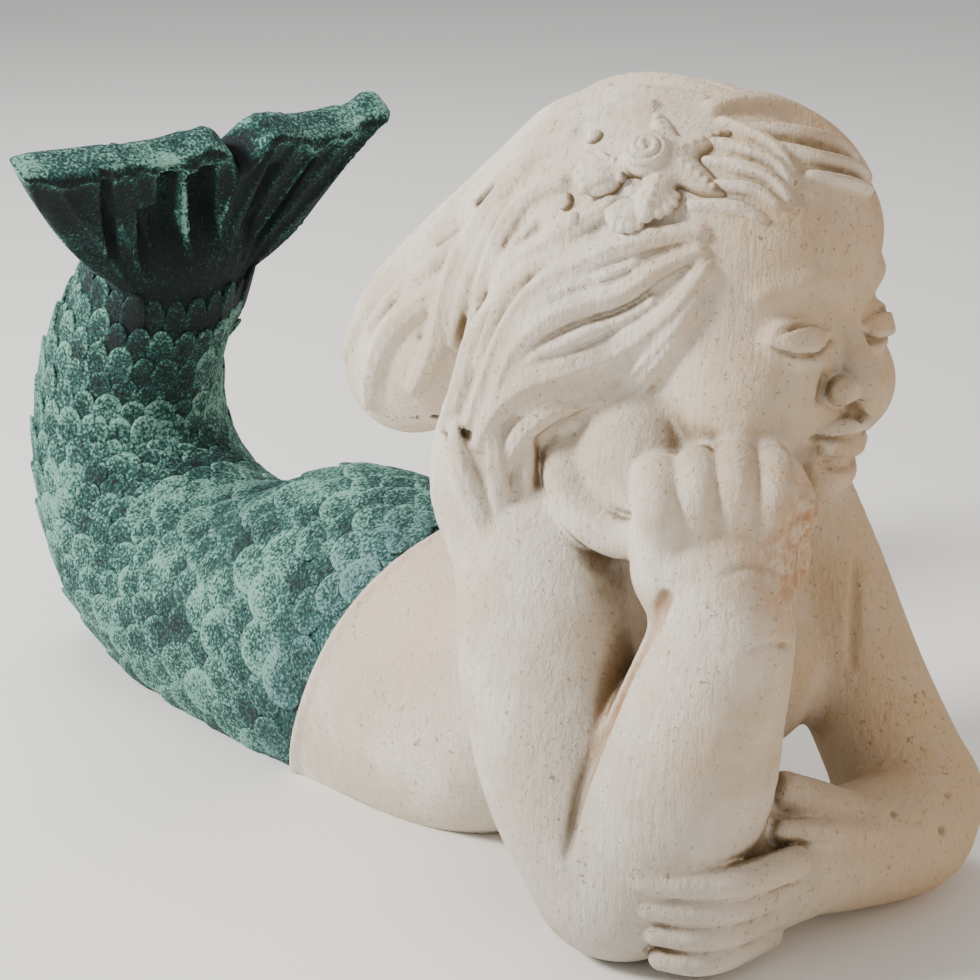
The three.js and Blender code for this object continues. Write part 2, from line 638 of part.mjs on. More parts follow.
// Takes edges out of a closed skin, the least visible first, until it has the faces wanted
function thinned({ points, faces }, wanted) {
  const place = Float64Array.from(points);
  const count = place.length / 3;
  const around = Array.from({ length: count }, () => new Set());
  const flatness = new Float64Array(count * 10);
  const stamp = new Int32Array(count);
  const triangles = faces.map((face) => [...face]);
  const alive = new Uint8Array(triangles.length).fill(1);

  const normalOf = (a, b, c) => {
    const [ax, ay, az] = a;
    const ux = b[0] - ax;
    const uy = b[1] - ay;
    const uz = b[2] - az;
    const vx = c[0] - ax;
    const vy = c[1] - ay;
    const vz = c[2] - az;
    return [uy * vz - uz * vy, uz * vx - ux * vz, ux * vy - uy * vx];
  };
  const at = (v) => [place[3 * v], place[3 * v + 1], place[3 * v + 2]];

  triangles.forEach((face, i) => {
    const n = normalOf(at(face[0]), at(face[1]), at(face[2]));
    const area = Math.hypot(...n) || 1e-12;
    const [a, b, c] = n.map((v) => v / area);
    const [x, y, z] = at(face[0]);
    const d = -(a * x + b * y + c * z);
    const q = [a * a, a * b, a * c, a * d, b * b, b * c, b * d, c * c, c * d, d * d];
    for (const v of face) {
      around[v].add(i);
      q.forEach((value, j) => {
        flatness[10 * v + j] += value * area;
      });
    }
  });

  const costOf = (q, x, y, z) => q[0] * x * x + 2 * q[1] * x * y + 2 * q[2] * x * z + 2 * q[3] * x
    + q[4] * y * y + 2 * q[5] * y * z + 2 * q[6] * y + q[7] * z * z + 2 * q[8] * z + q[9];
  const meetingPoint = (a, b) => {
    const q = new Float64Array(10);
    for (let j = 0; j < 10; j++) {
      q[j] = flatness[10 * a + j] + flatness[10 * b + j];
    }
    const [pa, pb] = [at(a), at(b)];
    const middle = [0, 1, 2].map((d) => (pa[d] + pb[d]) / 2);
    const span = Math.hypot(pa[0] - pb[0], pa[1] - pb[1], pa[2] - pb[2]);
    const hold = 1e-3 * (q[0] + q[4] + q[7]);
    const m = new THREE.Matrix3();
    m.set(q[0] + hold, q[1], q[2], q[1], q[4] + hold, q[5], q[2], q[5], q[7] + hold);
    let best = middle;
    if (Math.abs(m.determinant()) > 1e-12) {
      const pulled = new THREE.Vector3(q[3], q[6], q[8]);
      const right = new THREE.Vector3(...middle).multiplyScalar(hold).sub(pulled);
      const solved = right.applyMatrix3(m.invert()).toArray();
      if (Math.hypot(...solved.map((v, d) => v - middle[d])) < span * 1.5) {
        best = solved;
      }
    }
    return { target: best, cost: Math.max(costOf(q, ...best), 0) + 1e-4 * span * span };
  };
  const neighboursOf = (v) => {
    const found = new Set();
    for (const i of around[v]) {
      for (const w of triangles[i]) {
        if (w !== v) {
          found.add(w);
        }
      }
    }
    return found;
  };
  const queue = new Queue();
  const offer = (a, b) => {
    const { cost } = meetingPoint(a, b);
    queue.push([cost, a, b, stamp[a], stamp[b]]);
  };
  const flips = (v, other, target) => {
    for (const i of around[v]) {
      const face = triangles[i];
      if (face.includes(other)) {
        continue;
      }
      const corners = face.map(at);
      const before = normalOf(...corners);
      corners[face.indexOf(v)] = target;
      const after = normalOf(...corners);
      const size = Math.hypot(...after);
      const dot = before[0] * after[0] + before[1] * after[1] + before[2] * after[2];
      if (dot < 0.35 * size * Math.hypot(...before)) {
        return true;
      }
      const longest = Math.max(...[0, 1, 2].map((c) =>
        Math.hypot(...corners[c].map((value, d) => value - corners[(c + 1) % 3][d]))));
      if (size < 0.03 * longest * longest) {
        return true;
      }
    }
    return false;
  };

  for (let v = 0; v < count; v++) {
    for (const w of neighboursOf(v)) {
      if (v < w) {
        offer(v, w);
      }
    }
  }
  let left = triangles.length;
  while (left > wanted && queue.items.length > 0) {
    const [, a, b, stampA, stampB] = queue.pop();
    if (stamp[a] !== stampA || stamp[b] !== stampB) {
      continue;
    }
    const ringB = neighboursOf(b);
    const shared = [...neighboursOf(a)].filter((v) => ringB.has(v)).length;
    const { target } = meetingPoint(a, b);
    if (shared !== 2 || flips(a, b, target) || flips(b, a, target)) {
      continue;
    }
    for (const i of around[b]) {
      const face = triangles[i];
      if (face.includes(a)) {
        alive[i] = 0;
        left -= 1;
        face.forEach((v) => v !== b && around[v].delete(i));
      } else {
        face[face.indexOf(b)] = a;
        around[a].add(i);
      }
    }
    around[b].clear();
    target.forEach((value, d) => {
      place[3 * a + d] = value;
    });
    for (let j = 0; j < 10; j++) {
      flatness[10 * a + j] += flatness[10 * b + j];
    }
    stamp[a] += 1;
    stamp[b] = -1;
    for (const v of neighboursOf(a)) {
      offer(a, v);
    }
  }
  const geometry = new THREE.BufferGeometry();
  geometry.setAttribute("position", new THREE.Float32BufferAttribute(place, 3));
  geometry.setIndex(triangles.filter((_, i) => alive[i]).flat());
  return geometry;
}

function toSolid(geometry) {
  const bare = geometry.clone();
  bare.deleteAttribute("normal");
  bare.deleteAttribute("uv");
  const welded = mergeVertices(bare, 1e-5);
  const vertProperties = Float32Array.from(welded.attributes.position.array);
  const triVerts = Uint32Array.from(welded.index.array);
  return new wasm.Manifold(new wasm.Mesh({ numProp: 3, vertProperties, triVerts }));
}

function toGeometry(solid) {
  const mesh = solid.getMesh();
  const geometry = new THREE.BufferGeometry();
  geometry.setAttribute("position", new THREE.BufferAttribute(Float32Array.from(mesh.vertProperties), 3));
  geometry.setIndex(new THREE.BufferAttribute(Uint32Array.from(mesh.triVerts), 1));
  return geometry;
}

// The casting, cut off flat at the ground
function mermaidGeometry() {
  const skin = skinOf(figureForms(), [-125, -85, -12], [250, 530, 327]);
  const ground = new THREE.BoxGeometry(400, 800, 100).translate(0, 150, -50);
  const cut = toSolid(thinned(skin, faceTarget)).subtract(toSolid(ground));
  const geometry = toGeometry(cut);
  geometry.computeBoundingBox();
  const middle = geometry.boundingBox.getCenter(new THREE.Vector3());
  geometry.translate(-middle.x, -middle.y, 0);
  geometry.computeVertexNormals();
  return geometry;
}

const limewashedConcrete = new THREE.MeshStandardMaterial({
  color: 0xdcd2c2, roughness: 0.9, metalness: 0,
});
const mermaid = new THREE.Mesh(mermaidGeometry(), limewashedConcrete);
mermaid.name = "mermaid";

const statue = new THREE.Group();
statue.name = "mermaid_statue";
statue.add(mermaid);

export default statue;
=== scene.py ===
# A mermaid garden statue, cast in one piece in concrete: limewashed body, verdigris painted tail.
# Lengths in the modelling part are millimetres in the caster's own axes: ground at 0, face
# towards -Y, tail towards +Y, and everything is brought into the frame's metres at the end.
import math
from concurrent.futures import ThreadPoolExecutor

import bpy
import numpy as np
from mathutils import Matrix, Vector


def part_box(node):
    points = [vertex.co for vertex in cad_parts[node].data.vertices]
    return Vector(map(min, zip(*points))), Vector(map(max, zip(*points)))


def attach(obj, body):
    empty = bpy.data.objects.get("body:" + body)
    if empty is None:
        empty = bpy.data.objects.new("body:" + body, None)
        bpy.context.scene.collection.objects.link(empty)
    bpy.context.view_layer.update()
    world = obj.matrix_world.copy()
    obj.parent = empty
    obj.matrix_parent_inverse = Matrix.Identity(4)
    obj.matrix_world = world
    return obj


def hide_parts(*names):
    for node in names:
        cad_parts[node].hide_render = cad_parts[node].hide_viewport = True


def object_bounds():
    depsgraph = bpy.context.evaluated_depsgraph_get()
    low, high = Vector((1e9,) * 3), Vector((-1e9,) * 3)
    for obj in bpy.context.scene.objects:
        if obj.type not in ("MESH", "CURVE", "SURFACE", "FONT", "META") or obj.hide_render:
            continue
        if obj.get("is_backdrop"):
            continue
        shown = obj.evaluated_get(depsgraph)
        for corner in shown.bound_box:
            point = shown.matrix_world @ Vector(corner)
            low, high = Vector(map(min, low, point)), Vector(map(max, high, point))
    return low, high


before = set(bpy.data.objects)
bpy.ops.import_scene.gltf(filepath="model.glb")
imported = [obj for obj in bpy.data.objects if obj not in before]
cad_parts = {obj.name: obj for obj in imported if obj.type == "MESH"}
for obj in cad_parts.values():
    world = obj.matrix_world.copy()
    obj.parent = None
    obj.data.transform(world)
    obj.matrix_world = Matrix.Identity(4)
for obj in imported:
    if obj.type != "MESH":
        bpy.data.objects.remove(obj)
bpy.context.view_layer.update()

clay = dict(
    step=1.25,      # grid the forms are joined on
    coarser=4,                             # the first, sparse grid is this many times wider
    low=(-108, -80, -11),
    high=(110, 435, 310),
    faces=196000,
)


def unitOf(v):
    v = np.asarray(v, float)
    return v / np.maximum(np.linalg.norm(v, axis=-1, keepdims=True), 1e-9)


def turned(yaw=0.0, pitch=0.0, roll=0.0):
    # columns are the axes after a yaw about Z, then a pitch about X, then a roll about Y
    a, b, c = (math.radians(v) for v in (yaw, pitch, roll))
    rz = np.array([[math.cos(a), -math.sin(a), 0], [math.sin(a), math.cos(a), 0], [0, 0, 1]])
    rx = np.array([[1, 0, 0], [0, math.cos(b), -math.sin(b)], [0, math.sin(b), math.cos(b)]])
    ry = np.array([[math.cos(c), 0, math.sin(c)], [0, 1, 0], [-math.sin(c), 0, math.cos(c)]])
    return rz @ rx @ ry


def smoothRows(rows, perSpan=6):
    # a smooth curve through rows of numbers, places and radii alike
    p = np.asarray(rows, float)
    if len(p) < 3:
        t = np.linspace(0, 1, perSpan + 1)[:, None]
        return p[0] + (p[-1] - p[0]) * t
    ends = np.vstack([2 * p[0] - p[1], p, 2 * p[-1] - p[-2]])
    made = []
    for i in range(len(p) - 1):
        a, b, c, d = ends[i:i + 4]
        for t in np.arange(perSpan) / perSpan:
            made.append(0.5 * (2 * b + (c - a) * t + (2 * a - 5 * b + 4 * c - d) * t * t
                               + (3 * b - 3 * c + d - a) * t ** 3))
    made.append(p[-1])
    return np.array(made)


# Every form is a box, a blend width and a distance function, negative inside. Forms are joined
# softly, as clay is, and a cut form is taken away.
def ball(at, size, turn=None, blend=4.0, cut=False):
    at = np.asarray(at, float)
    size = np.broadcast_to(np.asarray(size, float), (3,)).astype(float)
    reach = size.max() if turn is not None else size

    def distance(p):
        q = p - at
        if turn is not None:
            q = q @ turn
        k0 = np.sqrt(((q / size) ** 2).sum(1))
        k1 = np.sqrt(((q / size ** 2) ** 2).sum(1))
        return k0 * (k0 - 1) / np.maximum(k1, 1e-6)
    return dict(low=at - reach, high=at + reach, distance=distance, blend=blend, cut=cut)


def roundedBlock(at, half, rounding, turn, blend=4.0):
    at = np.asarray(at, float)
    half = np.asarray(half, float)

    def distance(p):
        q = np.abs((p - at) @ turn) - (half - rounding)
        outside = np.sqrt((np.maximum(q, 0) ** 2).sum(1))
        return outside + np.minimum(q.max(1), 0) - rounding
    reach = np.linalg.norm(half)
    return dict(low=at - reach, high=at + reach, distance=distance, blend=blend, cut=False)


def groupsOf(rows, reach, size=4):
    # a path in short runs, each with the box that its blend can reach
    for first in range(0, len(rows) - 1, size):
        run = rows[first:first + size + 1]
        yield run, run[:, :3].min(0) - reach, run[:, :3].max(0) + reach


def limb(path, blend=4.0, cut=False, perSpan=5):
    # a round limb along a smooth path, rows of x, y, z, radius
    rows = smoothRows(path, perSpan)
    runs = list(groupsOf(rows, rows[:, 3].max() + blend + 8))

    def distance(p):
        best = np.full(len(p), 1e3)
        for run, low, high in runs:
            index = np.nonzero(((p > low) & (p < high)).all(1))[0]
            q = p[index]
            nearest = best[index]
            for s, e in zip(run[:-1], run[1:]):
                axis = e[:3] - s[:3]
                t = np.clip(((q - s[:3]) @ axis) / max(axis @ axis, 1e-9), 0, 1)
                away = q - s[:3] - t[:, None] * axis
                nearest = np.minimum(nearest, np.sqrt((away ** 2).sum(1)) - (s[3] + t * (e[3] - s[3])))
            best[index] = nearest
        return best
    low = (rows[:, :3] - rows[:, 3:4]).min(0)
    high = (rows[:, :3] + rows[:, 3:4]).max(0)
    return dict(low=low, high=high, distance=distance, blend=blend, cut=cut)


def strap(path, strands=3, groove=0.6, blend=1.5, perSpan=4):
    # a flat lock of hair: rows of x, y, z, half width, thickness and the skin's normal
    rows = smoothRows(path, perSpan)
    runs = list(groupsOf(rows, rows[:, 3].max() + blend + 8))

    def distance(p):
        result = np.full(len(p), 1e3)
        best = np.full(len(p), 1e9)
        found = np.zeros((len(p), 11))
        for run, low, high in runs:
            index = np.nonzero(((p > low) & (p < high)).all(1))[0]
            q = p[index]
            for s, e in zip(run[:-1], run[1:]):
                axis = e[:3] - s[:3]
                length = np.linalg.norm(axis)
                t = np.clip(((q - s[:3]) @ axis) / max(length ** 2, 1e-9), 0, 1)
                away = q - s[:3] - t[:, None] * axis
                d = (away ** 2).sum(1)
                closer = d < best[index]
                near = index[closer]
                best[near] = d[closer]
                found[near, :3] = away[closer]
                found[near, 3:8] = s[3:] + t[closer, None] * (e[3:] - s[3:])
                found[near, 8:] = axis / length
        touched = best < 1e8
        found = found[touched]
        away, width, deep = found[:, :3], found[:, 3], found[:, 4]
        outward = unitOf(found[:, 5:8])
        side = unitOf(np.cross(found[:, 8:], outward))
        outward = np.cross(side, found[:, 8:])
        u = (away * side).sum(1) / width
        h = (away * outward).sum(1) / deep
        tip = (away * found[:, 8:]).sum(1) / width
        k0 = np.sqrt(u * u + h * h + tip * tip)
        k1 = np.sqrt((u / width) ** 2 + (h / deep) ** 2 + (tip / width) ** 2)
        wave = 0.5 + 0.5 * np.cos(math.pi * strands * (u + 1))
        carved = groove * wave * np.clip(1.2 - np.abs(u), 0, 1) * (h > 0)
        result[touched] = k0 * (k0 - 1) / np.maximum(k1, 1e-6) + carved
        return result
    reach = rows[:, 3:4].max()
    low = (rows[:, :3] - reach).min(0)
    high = (rows[:, :3] + reach).max(0)
    return dict(low=low, high=high, distance=distance, blend=blend, cut=False)


def spineTube(path, relief, blend=10.0, perSpan=8):
    # rows: x, y, z, half width, depth above the spine, depth below it, squareness below
    rows = smoothRows(path, perSpan)
    length = np.r_[0, np.cumsum(np.linalg.norm(np.diff(rows[:, 1:3], axis=0), axis=1))]

    def distance(p):
        best = np.full(len(p), 1e9)
        side = np.ones(len(p))
        values = np.zeros((len(p), 6))
        for i in range(len(rows) - 1):
            s, e = rows[i], rows[i + 1]
            axis = e[1:3] - s[1:3]
            t = np.clip(((p[:, 1:3] - s[1:3]) @ axis) / max(axis @ axis, 1e-9), 0, 1)
            away = p[:, 1:3] - s[1:3] - t[:, None] * axis
            d = (away ** 2).sum(1)
            near = np.nonzero(d < best)[0]
            best[near] = d[near]
            normal = np.array([-axis[1], axis[0]])
            side[near] = np.where(away[near] @ normal < 0, -1, 1)
            tn = t[near, None]
            values[near, :5] = s[[0, 3, 4, 5, 6]] + tn * (e[[0, 3, 4, 5, 6]] - s[[0, 3, 4, 5, 6]])
            values[near, 5] = length[i] + t[near] * (length[i + 1] - length[i])
        up = np.sqrt(best) * side
        rx = values[:, 1]
        rz = np.where(up > 0, values[:, 2], values[:, 3])
        n = np.where(up > 0, 2.0, values[:, 4])
        a = np.abs(p[:, 0] - values[:, 0]) / rx + 1e-6
        b = np.abs(up) / rz + 1e-6
        k0 = (a ** n + b ** n) ** (1 / n)
        slope = k0 ** (1 - n) * np.sqrt((a ** (n - 1) / rx) ** 2 + (b ** (n - 1) / rz) ** 2)
        return (k0 - 1) / slope - relief(p)
    deep = np.maximum(rows[:, 4], rows[:, 5])
    low = np.array([(rows[:, 0] - rows[:, 3]).min(), (rows[:, 1] - deep).min(), (rows[:, 2] - deep).min()])
    high = np.array([(rows[:, 0] + rows[:, 3]).max(), (rows[:, 1] + deep).max(), (rows[:, 2] + deep).max()])
    return dict(low=low, high=high, distance=distance, blend=blend, cut=False)


def placedAt(form, at, turn):
    # a form made in axes of its own, moved to its place
    at = np.asarray(at, float)
    inner = form["distance"]
    low, high = form["low"], form["high"]
    corners = np.array([[x, y, z] for x in (low[0], high[0]) for y in (low[1], high[1])
                        for z in (low[2], high[2])])
    world = corners @ turn.T + at
    return dict(form, low=world.min(0), high=world.max(0), distance=lambda p: inner((p - at) @ turn))


def fieldPart(forms, p):
    # distance to all forms joined, at points in order of x
    d = np.full(len(p), 40.0)
    xs = p[:, 0]
    for form in forms:
        reach = form["blend"] + 7.0
        low, high = form["low"] - reach, form["high"] + reach
        first, last = np.searchsorted(xs, [low[0], high[0]])
        part = p[first:last]
        inBox = ((part[:, 1:] > low[1:]) & (part[:, 1:] < high[1:])).all(1)
        index = np.nonzero(inBox)[0] + first
        if not len(index):
            continue
        v = form["distance"](p[index])
        k = form["blend"]
        old = d[index]
        if form["cut"]:
            h = np.maximum(k - np.abs(old + v), 0) / k
            d[index] = np.maximum(old, -v) + h * h * k * 0.25
        else:
            h = np.maximum(k - np.abs(old - v), 0) / k
            d[index] = np.minimum(old, v) - h * h * k * 0.25
    return d


def fieldSorted(forms, p):
    # a long list is worked out in slabs, side by side
    slabs = min(48, len(p) // 8000)
    if slabs < 2:
        return fieldPart(forms, p)
    cuts = np.linspace(0, len(p), slabs + 1).astype(int)
    with ThreadPoolExecutor(4) as pool:
        parts = pool.map(lambda ends: fieldPart(forms, p[ends[0]:ends[1]]), zip(cuts[:-1], cuts[1:]))
        return np.concatenate(list(parts))


def fieldAt(forms, p):
    p = np.atleast_2d(np.asarray(p, float))
    order = np.argsort(p[:, 0], kind="stable")
    d = np.empty(len(p))
    d[order] = fieldSorted(forms, p[order])
    return d


def slopeAt(forms, p, reach=0.8):
    return np.stack([fieldAt(forms, p + reach * axis) - fieldAt(forms, p - reach * axis)
                     for axis in np.eye(3)], 1) / (2 * reach)


def ontoSkin(forms, p, lift=0.0, rounds=10):
    # walks points onto the skin of some forms and returns them with the skin's normals there
    p = np.array(p, float)
    for _ in range(rounds):
        g = slopeAt(forms, p)
        d = fieldAt(forms, p) - lift
        p -= 0.85 * (np.clip(d, -6, 6) / np.maximum((g ** 2).sum(1), 0.2))[:, None] * g
    return p, unitOf(slopeAt(forms, p, 3.0))


def laidLimb(path, skin, sink=0.3, **options):
    rows = np.array(path, float)
    at, normal = ontoSkin(skin, rows[:, :3])
    rows[:, :3] = at - normal * (sink * rows[:, 3:4])
    return limb(rows, **options)


# The body and the tail: one spine from the shoulders to the root of the fluke
tail = dict(
    spine=[
        (2, 50, 112, 56, 34, 36, 2),
        (2, 84, 84, 66, 46, 60, 2.6),
        (0, 132, 54, 64, 60, 66, 2.8),
        (0, 182, 40, 62, 74, 72, 2.2),
        (0, 226, 36, 62, 74, 74, 2),
        (0, 272, 32, 61, 60, 62, 2),
        (0, 318, 34, 58, 53, 55, 2),
        (0, 360, 50, 54, 51, 50, 2),
        (0, 383, 84, 48, 46, 42, 2),
        (0, 382, 124, 43, 41, 36, 2),
        (0, 364, 158, 39, 36, 31, 2),
        (0, 348, 182, 38, 26, 24, 2),
    ],
    waistSlope=0.48,        # the waist line leans forward as it rises
    waistAtGround=201,
    rimHeight=1.6,
    rimWidth=2.6,
    recess=1.6,             # the skin under the scales lies this much lower
)


def behindWaist(p):
    return p[:, 1] + tail["waistSlope"] * p[:, 2] - tail["waistAtGround"]


def waistRelief(p):
    behind = behindWaist(p)
    rim = tail["rimHeight"] * np.exp(-((behind + 3.2) / tail["rimWidth"]) ** 2) * (behind < 0)
    return rim - tail["recess"] * np.clip((behind + 1.2) / 1.6, 0, 1)


def bodyForms():
    return [
        spineTube(tail["spine"], waistRelief),
        ball((6, 54, 88), (54, 36, 47), blend=10),
        limb([(2, 62, 112, 40), (10, 42, 94, 36), (20, 27, 75, 30)], blend=16),
        limb([(2, 62, 130, 34), (4, 48, 158, 30), (4, 40, 185, 30)], blend=14),
    ]


# The fluke: a thick leaning slab with a notched crest and two lobes. Its front is hollowed below
# the thick rim in flutes that end round, with deep leaf-shaped channels in the middle.
fluke = dict(
    root=(7, 346, 178),
    lean=35,
    reach=71,
    nearLobe=98,
    farLobe=70,
    thickness=30,
    fanCentre=42,           # the flutes fan out from this far below the root
    fluteAngle=0.118,
    fluteDepth=2.8,
    frontHollow=2.0,
    # each channel: sideways and up at its foot, then at its head, half width, depth
    channels=[
        (-30, 9, -42, 46, 5.5, 8), (-21, 14, -37, 66, 7, 11), (-5, 18, -21, 65, 8, 11),
        (-50, 18, -69, 68, 3.2, 5), (16, 16, 19, 60, 3.5, 4), (25, 12, 41, 58, 3.5, 4),
    ],
)


def flukeForm():
    lean = math.radians(fluke["lean"])
    root = np.array(fluke["root"], float)
    up = np.array([0, -math.sin(lean), math.cos(lean)])
    front = np.array([0, -math.cos(lean), -math.sin(lean)])

    def distance(p):
        q = p - root
        side, v, w = q[:, 0], q @ up, q @ front
        u = np.abs(side)
        far = side > 0
        outer = np.maximum(u - 60, 0)
        crest = fluke["reach"] + 5 * np.exp(-((u - 16) / 14) ** 2) - 9 * np.exp(-(u / 6) ** 2)
        top = np.where(far, crest + 4 * np.minimum(outer / 14, 1) ** 2, crest - 3 - outer / 13)
        rise = np.maximum(v + np.where(far, 12, 14), 0) / 70
        edge = np.where(far, fluke["farLobe"] * 1.06 * rise ** 0.4, fluke["nearLobe"] * rise ** 0.5)
        plan = np.maximum(v - top, (u - np.maximum(edge, 32)) * 0.75)
        across = np.arctan2(side, v + fluke["fanCentre"]) / fluke["fluteAngle"]
        ragged = 2.4 * np.sin(across * 2.3 + 1.0) + 1.8 * np.sin(across * 5.1)
        below = top - v - 2.5 - ragged
        ending = np.clip(below / 5, 0, 1) ** 0.5
        fade = np.clip((v + 16) / 22, 0, 1)
        turn = 2 * (across - np.floor(across)) - 1
        hollow = np.sqrt(np.maximum(1 - turn ** 2, 0)) - 0.45
        inFront = w > 0
        depth = (fluke["fluteDepth"] * hollow + fluke["frontHollow"] * inFront) * ending * fade
        for footSide, footUp, headSide, headUp, wide, deep in fluke["channels"]:
            share = (v - footUp) / (headUp - footUp)
            off = (side - footSide - share * (headSide - footSide)) / wide
            leaf = np.sqrt(np.maximum(1 - off ** 2, 0)) * np.sqrt(np.maximum(1 - (2 * share - 1) ** 4, 0))
            depth = depth + deep * leaf * inFront
        half = fluke["thickness"] / 2 - 4 * np.clip(v / 60, 0, 1)
        slab = (np.abs(w + 6 * (u / 90) ** 2) - half + depth) * 0.8
        k = 6.0
        h = np.maximum(k - np.abs(plan - slab), 0) / k
        return np.maximum(plan, slab) + k * 0.25 * h * h
    low, high = np.array([-106.0, 270, 150]), np.array([104.0, 385, 268])
    return dict(low=low, high=high, distance=distance, blend=8.0, cut=False)


# Arms. Her right elbow stands on the ground and that fist carries the cheek. The left forearm
# lies along the ground and its hand holds the right elbow.
arms = dict(
    across=np.array([0.743, -0.669, 0.0]),
    away=np.array([0.65, 0.72, 0.0]),
    fist=(-43, -18, 158),
    finger=8.2,
    restingFinger=5.5,
)


def handPoint(toSide, rise, behind):
    shift = arms["across"] * toSide + arms["away"] * behind
    return np.array(arms["fist"], float) + shift + np.array([0, 0, rise])


def fistForms():
    turn = turned(-42, 0, 0)
    r = arms["finger"]
    forms = [
        roundedBlock(handPoint(0.5, -2, 2), (27, 17, 23), 11, turn, blend=7),
        ball(handPoint(-2, -22, 2), (22, 17, 14), turn, blend=9),
    ]
    knuckles = (14.5, 17.5, 18.5, 17)
    for i, knuckle in enumerate(knuckles):
        side = -19 + 12.6 * i
        forms.append(limb([
            (*handPoint(side * 0.85, -4, -9), r - 1.2),
            (*handPoint(side, knuckle - 4, -11.5), r - 0.6),
            (*handPoint(side + 0.5, knuckle + 1, 0), r - 0.2),
            (*handPoint(side + 1, knuckle - 12, 15), r - 1.5),
        ], blend=1.2))
    # the index finger is rolled in at the side, with the thumb across it
    forms.append(limb([
        (*handPoint(23, 15, 2), 7.2), (*handPoint(27.5, 4, 1), 7.4), (*handPoint(25, -8, 6), 6.5),
    ], blend=1.4))
    forms.append(limb([
        (*handPoint(20, -22, -3), 8), (*handPoint(27, -12, 8), 7), (*handPoint(24, 0, 15), 6),
    ], blend=2.5))
    return forms


def restingHandForms():
    forms = [
        ball((-29, -30, 31), (30, 16, 23), turned(-10, -14, 0), blend=6),
        limb([(12, -38, 36, 12), (-2, -36, 46, 11), (-16, -30, 56, 8)], blend=5),
        limb([(8, -50, 40, 4), (-12, -46, 46, 4.5), (-30, -41, 50, 4)], blend=4),
    ]
    r = arms["restingFinger"]
    for i in range(4):
        z = 42 - 10.5 * i
        forms.append(limb([
            (-30, -48 + 4 * i, z - 1, r + 0.4),
            (-53, -46.5 + 3 * i, z, r + 0.6),
            (-68 + 1.5 * i, -36.5 + i, z, r + 0.3),
            (-79 + 3 * i, -25, z, r - 0.6),
        ], blend=0.8))
    return forms


def armForms():
    rightUpper = [(-50, 54, 136, 30), (-63, 42, 106, 31), (-67, 25, 64, 31), (-62, 5, 30, 31)]
    rightFore = [(-61, 2, 30, 31), (-54, -13, 62, 33), (-49, -21, 94, 28), (-44, -25, 122, 24),
                 (-42, -22, 140, 22)]
    leftUpper = [(54, 44, 132, 30), (61.5, 27, 104, 26), (63.5, 4, 66, 24.5), (64.5, -20, 30, 25.5)]
    leftFore = [(63.5, -22, 25.5, 26.5), (46, -33, 24, 24), (16, -34, 27, 22), (-10, -32, 30, 20)]
    return [
        limb(rightUpper, blend=12),
        limb(leftUpper, blend=12),
        limb(leftFore, blend=6),
        limb(rightFore, blend=3),
        *fistForms(),
        *restingHandForms(),
    ]


# Head, in axes of its own: origin at the middle of the skull, face towards -Y. The face is a calm
# sleeping child's on the usual proportions: eyes at half height, closed lids, small mouth.
head = dict(at=(6, 31, 221), turn=turned(6, -4, 4), width=102, depth=120, height=112)


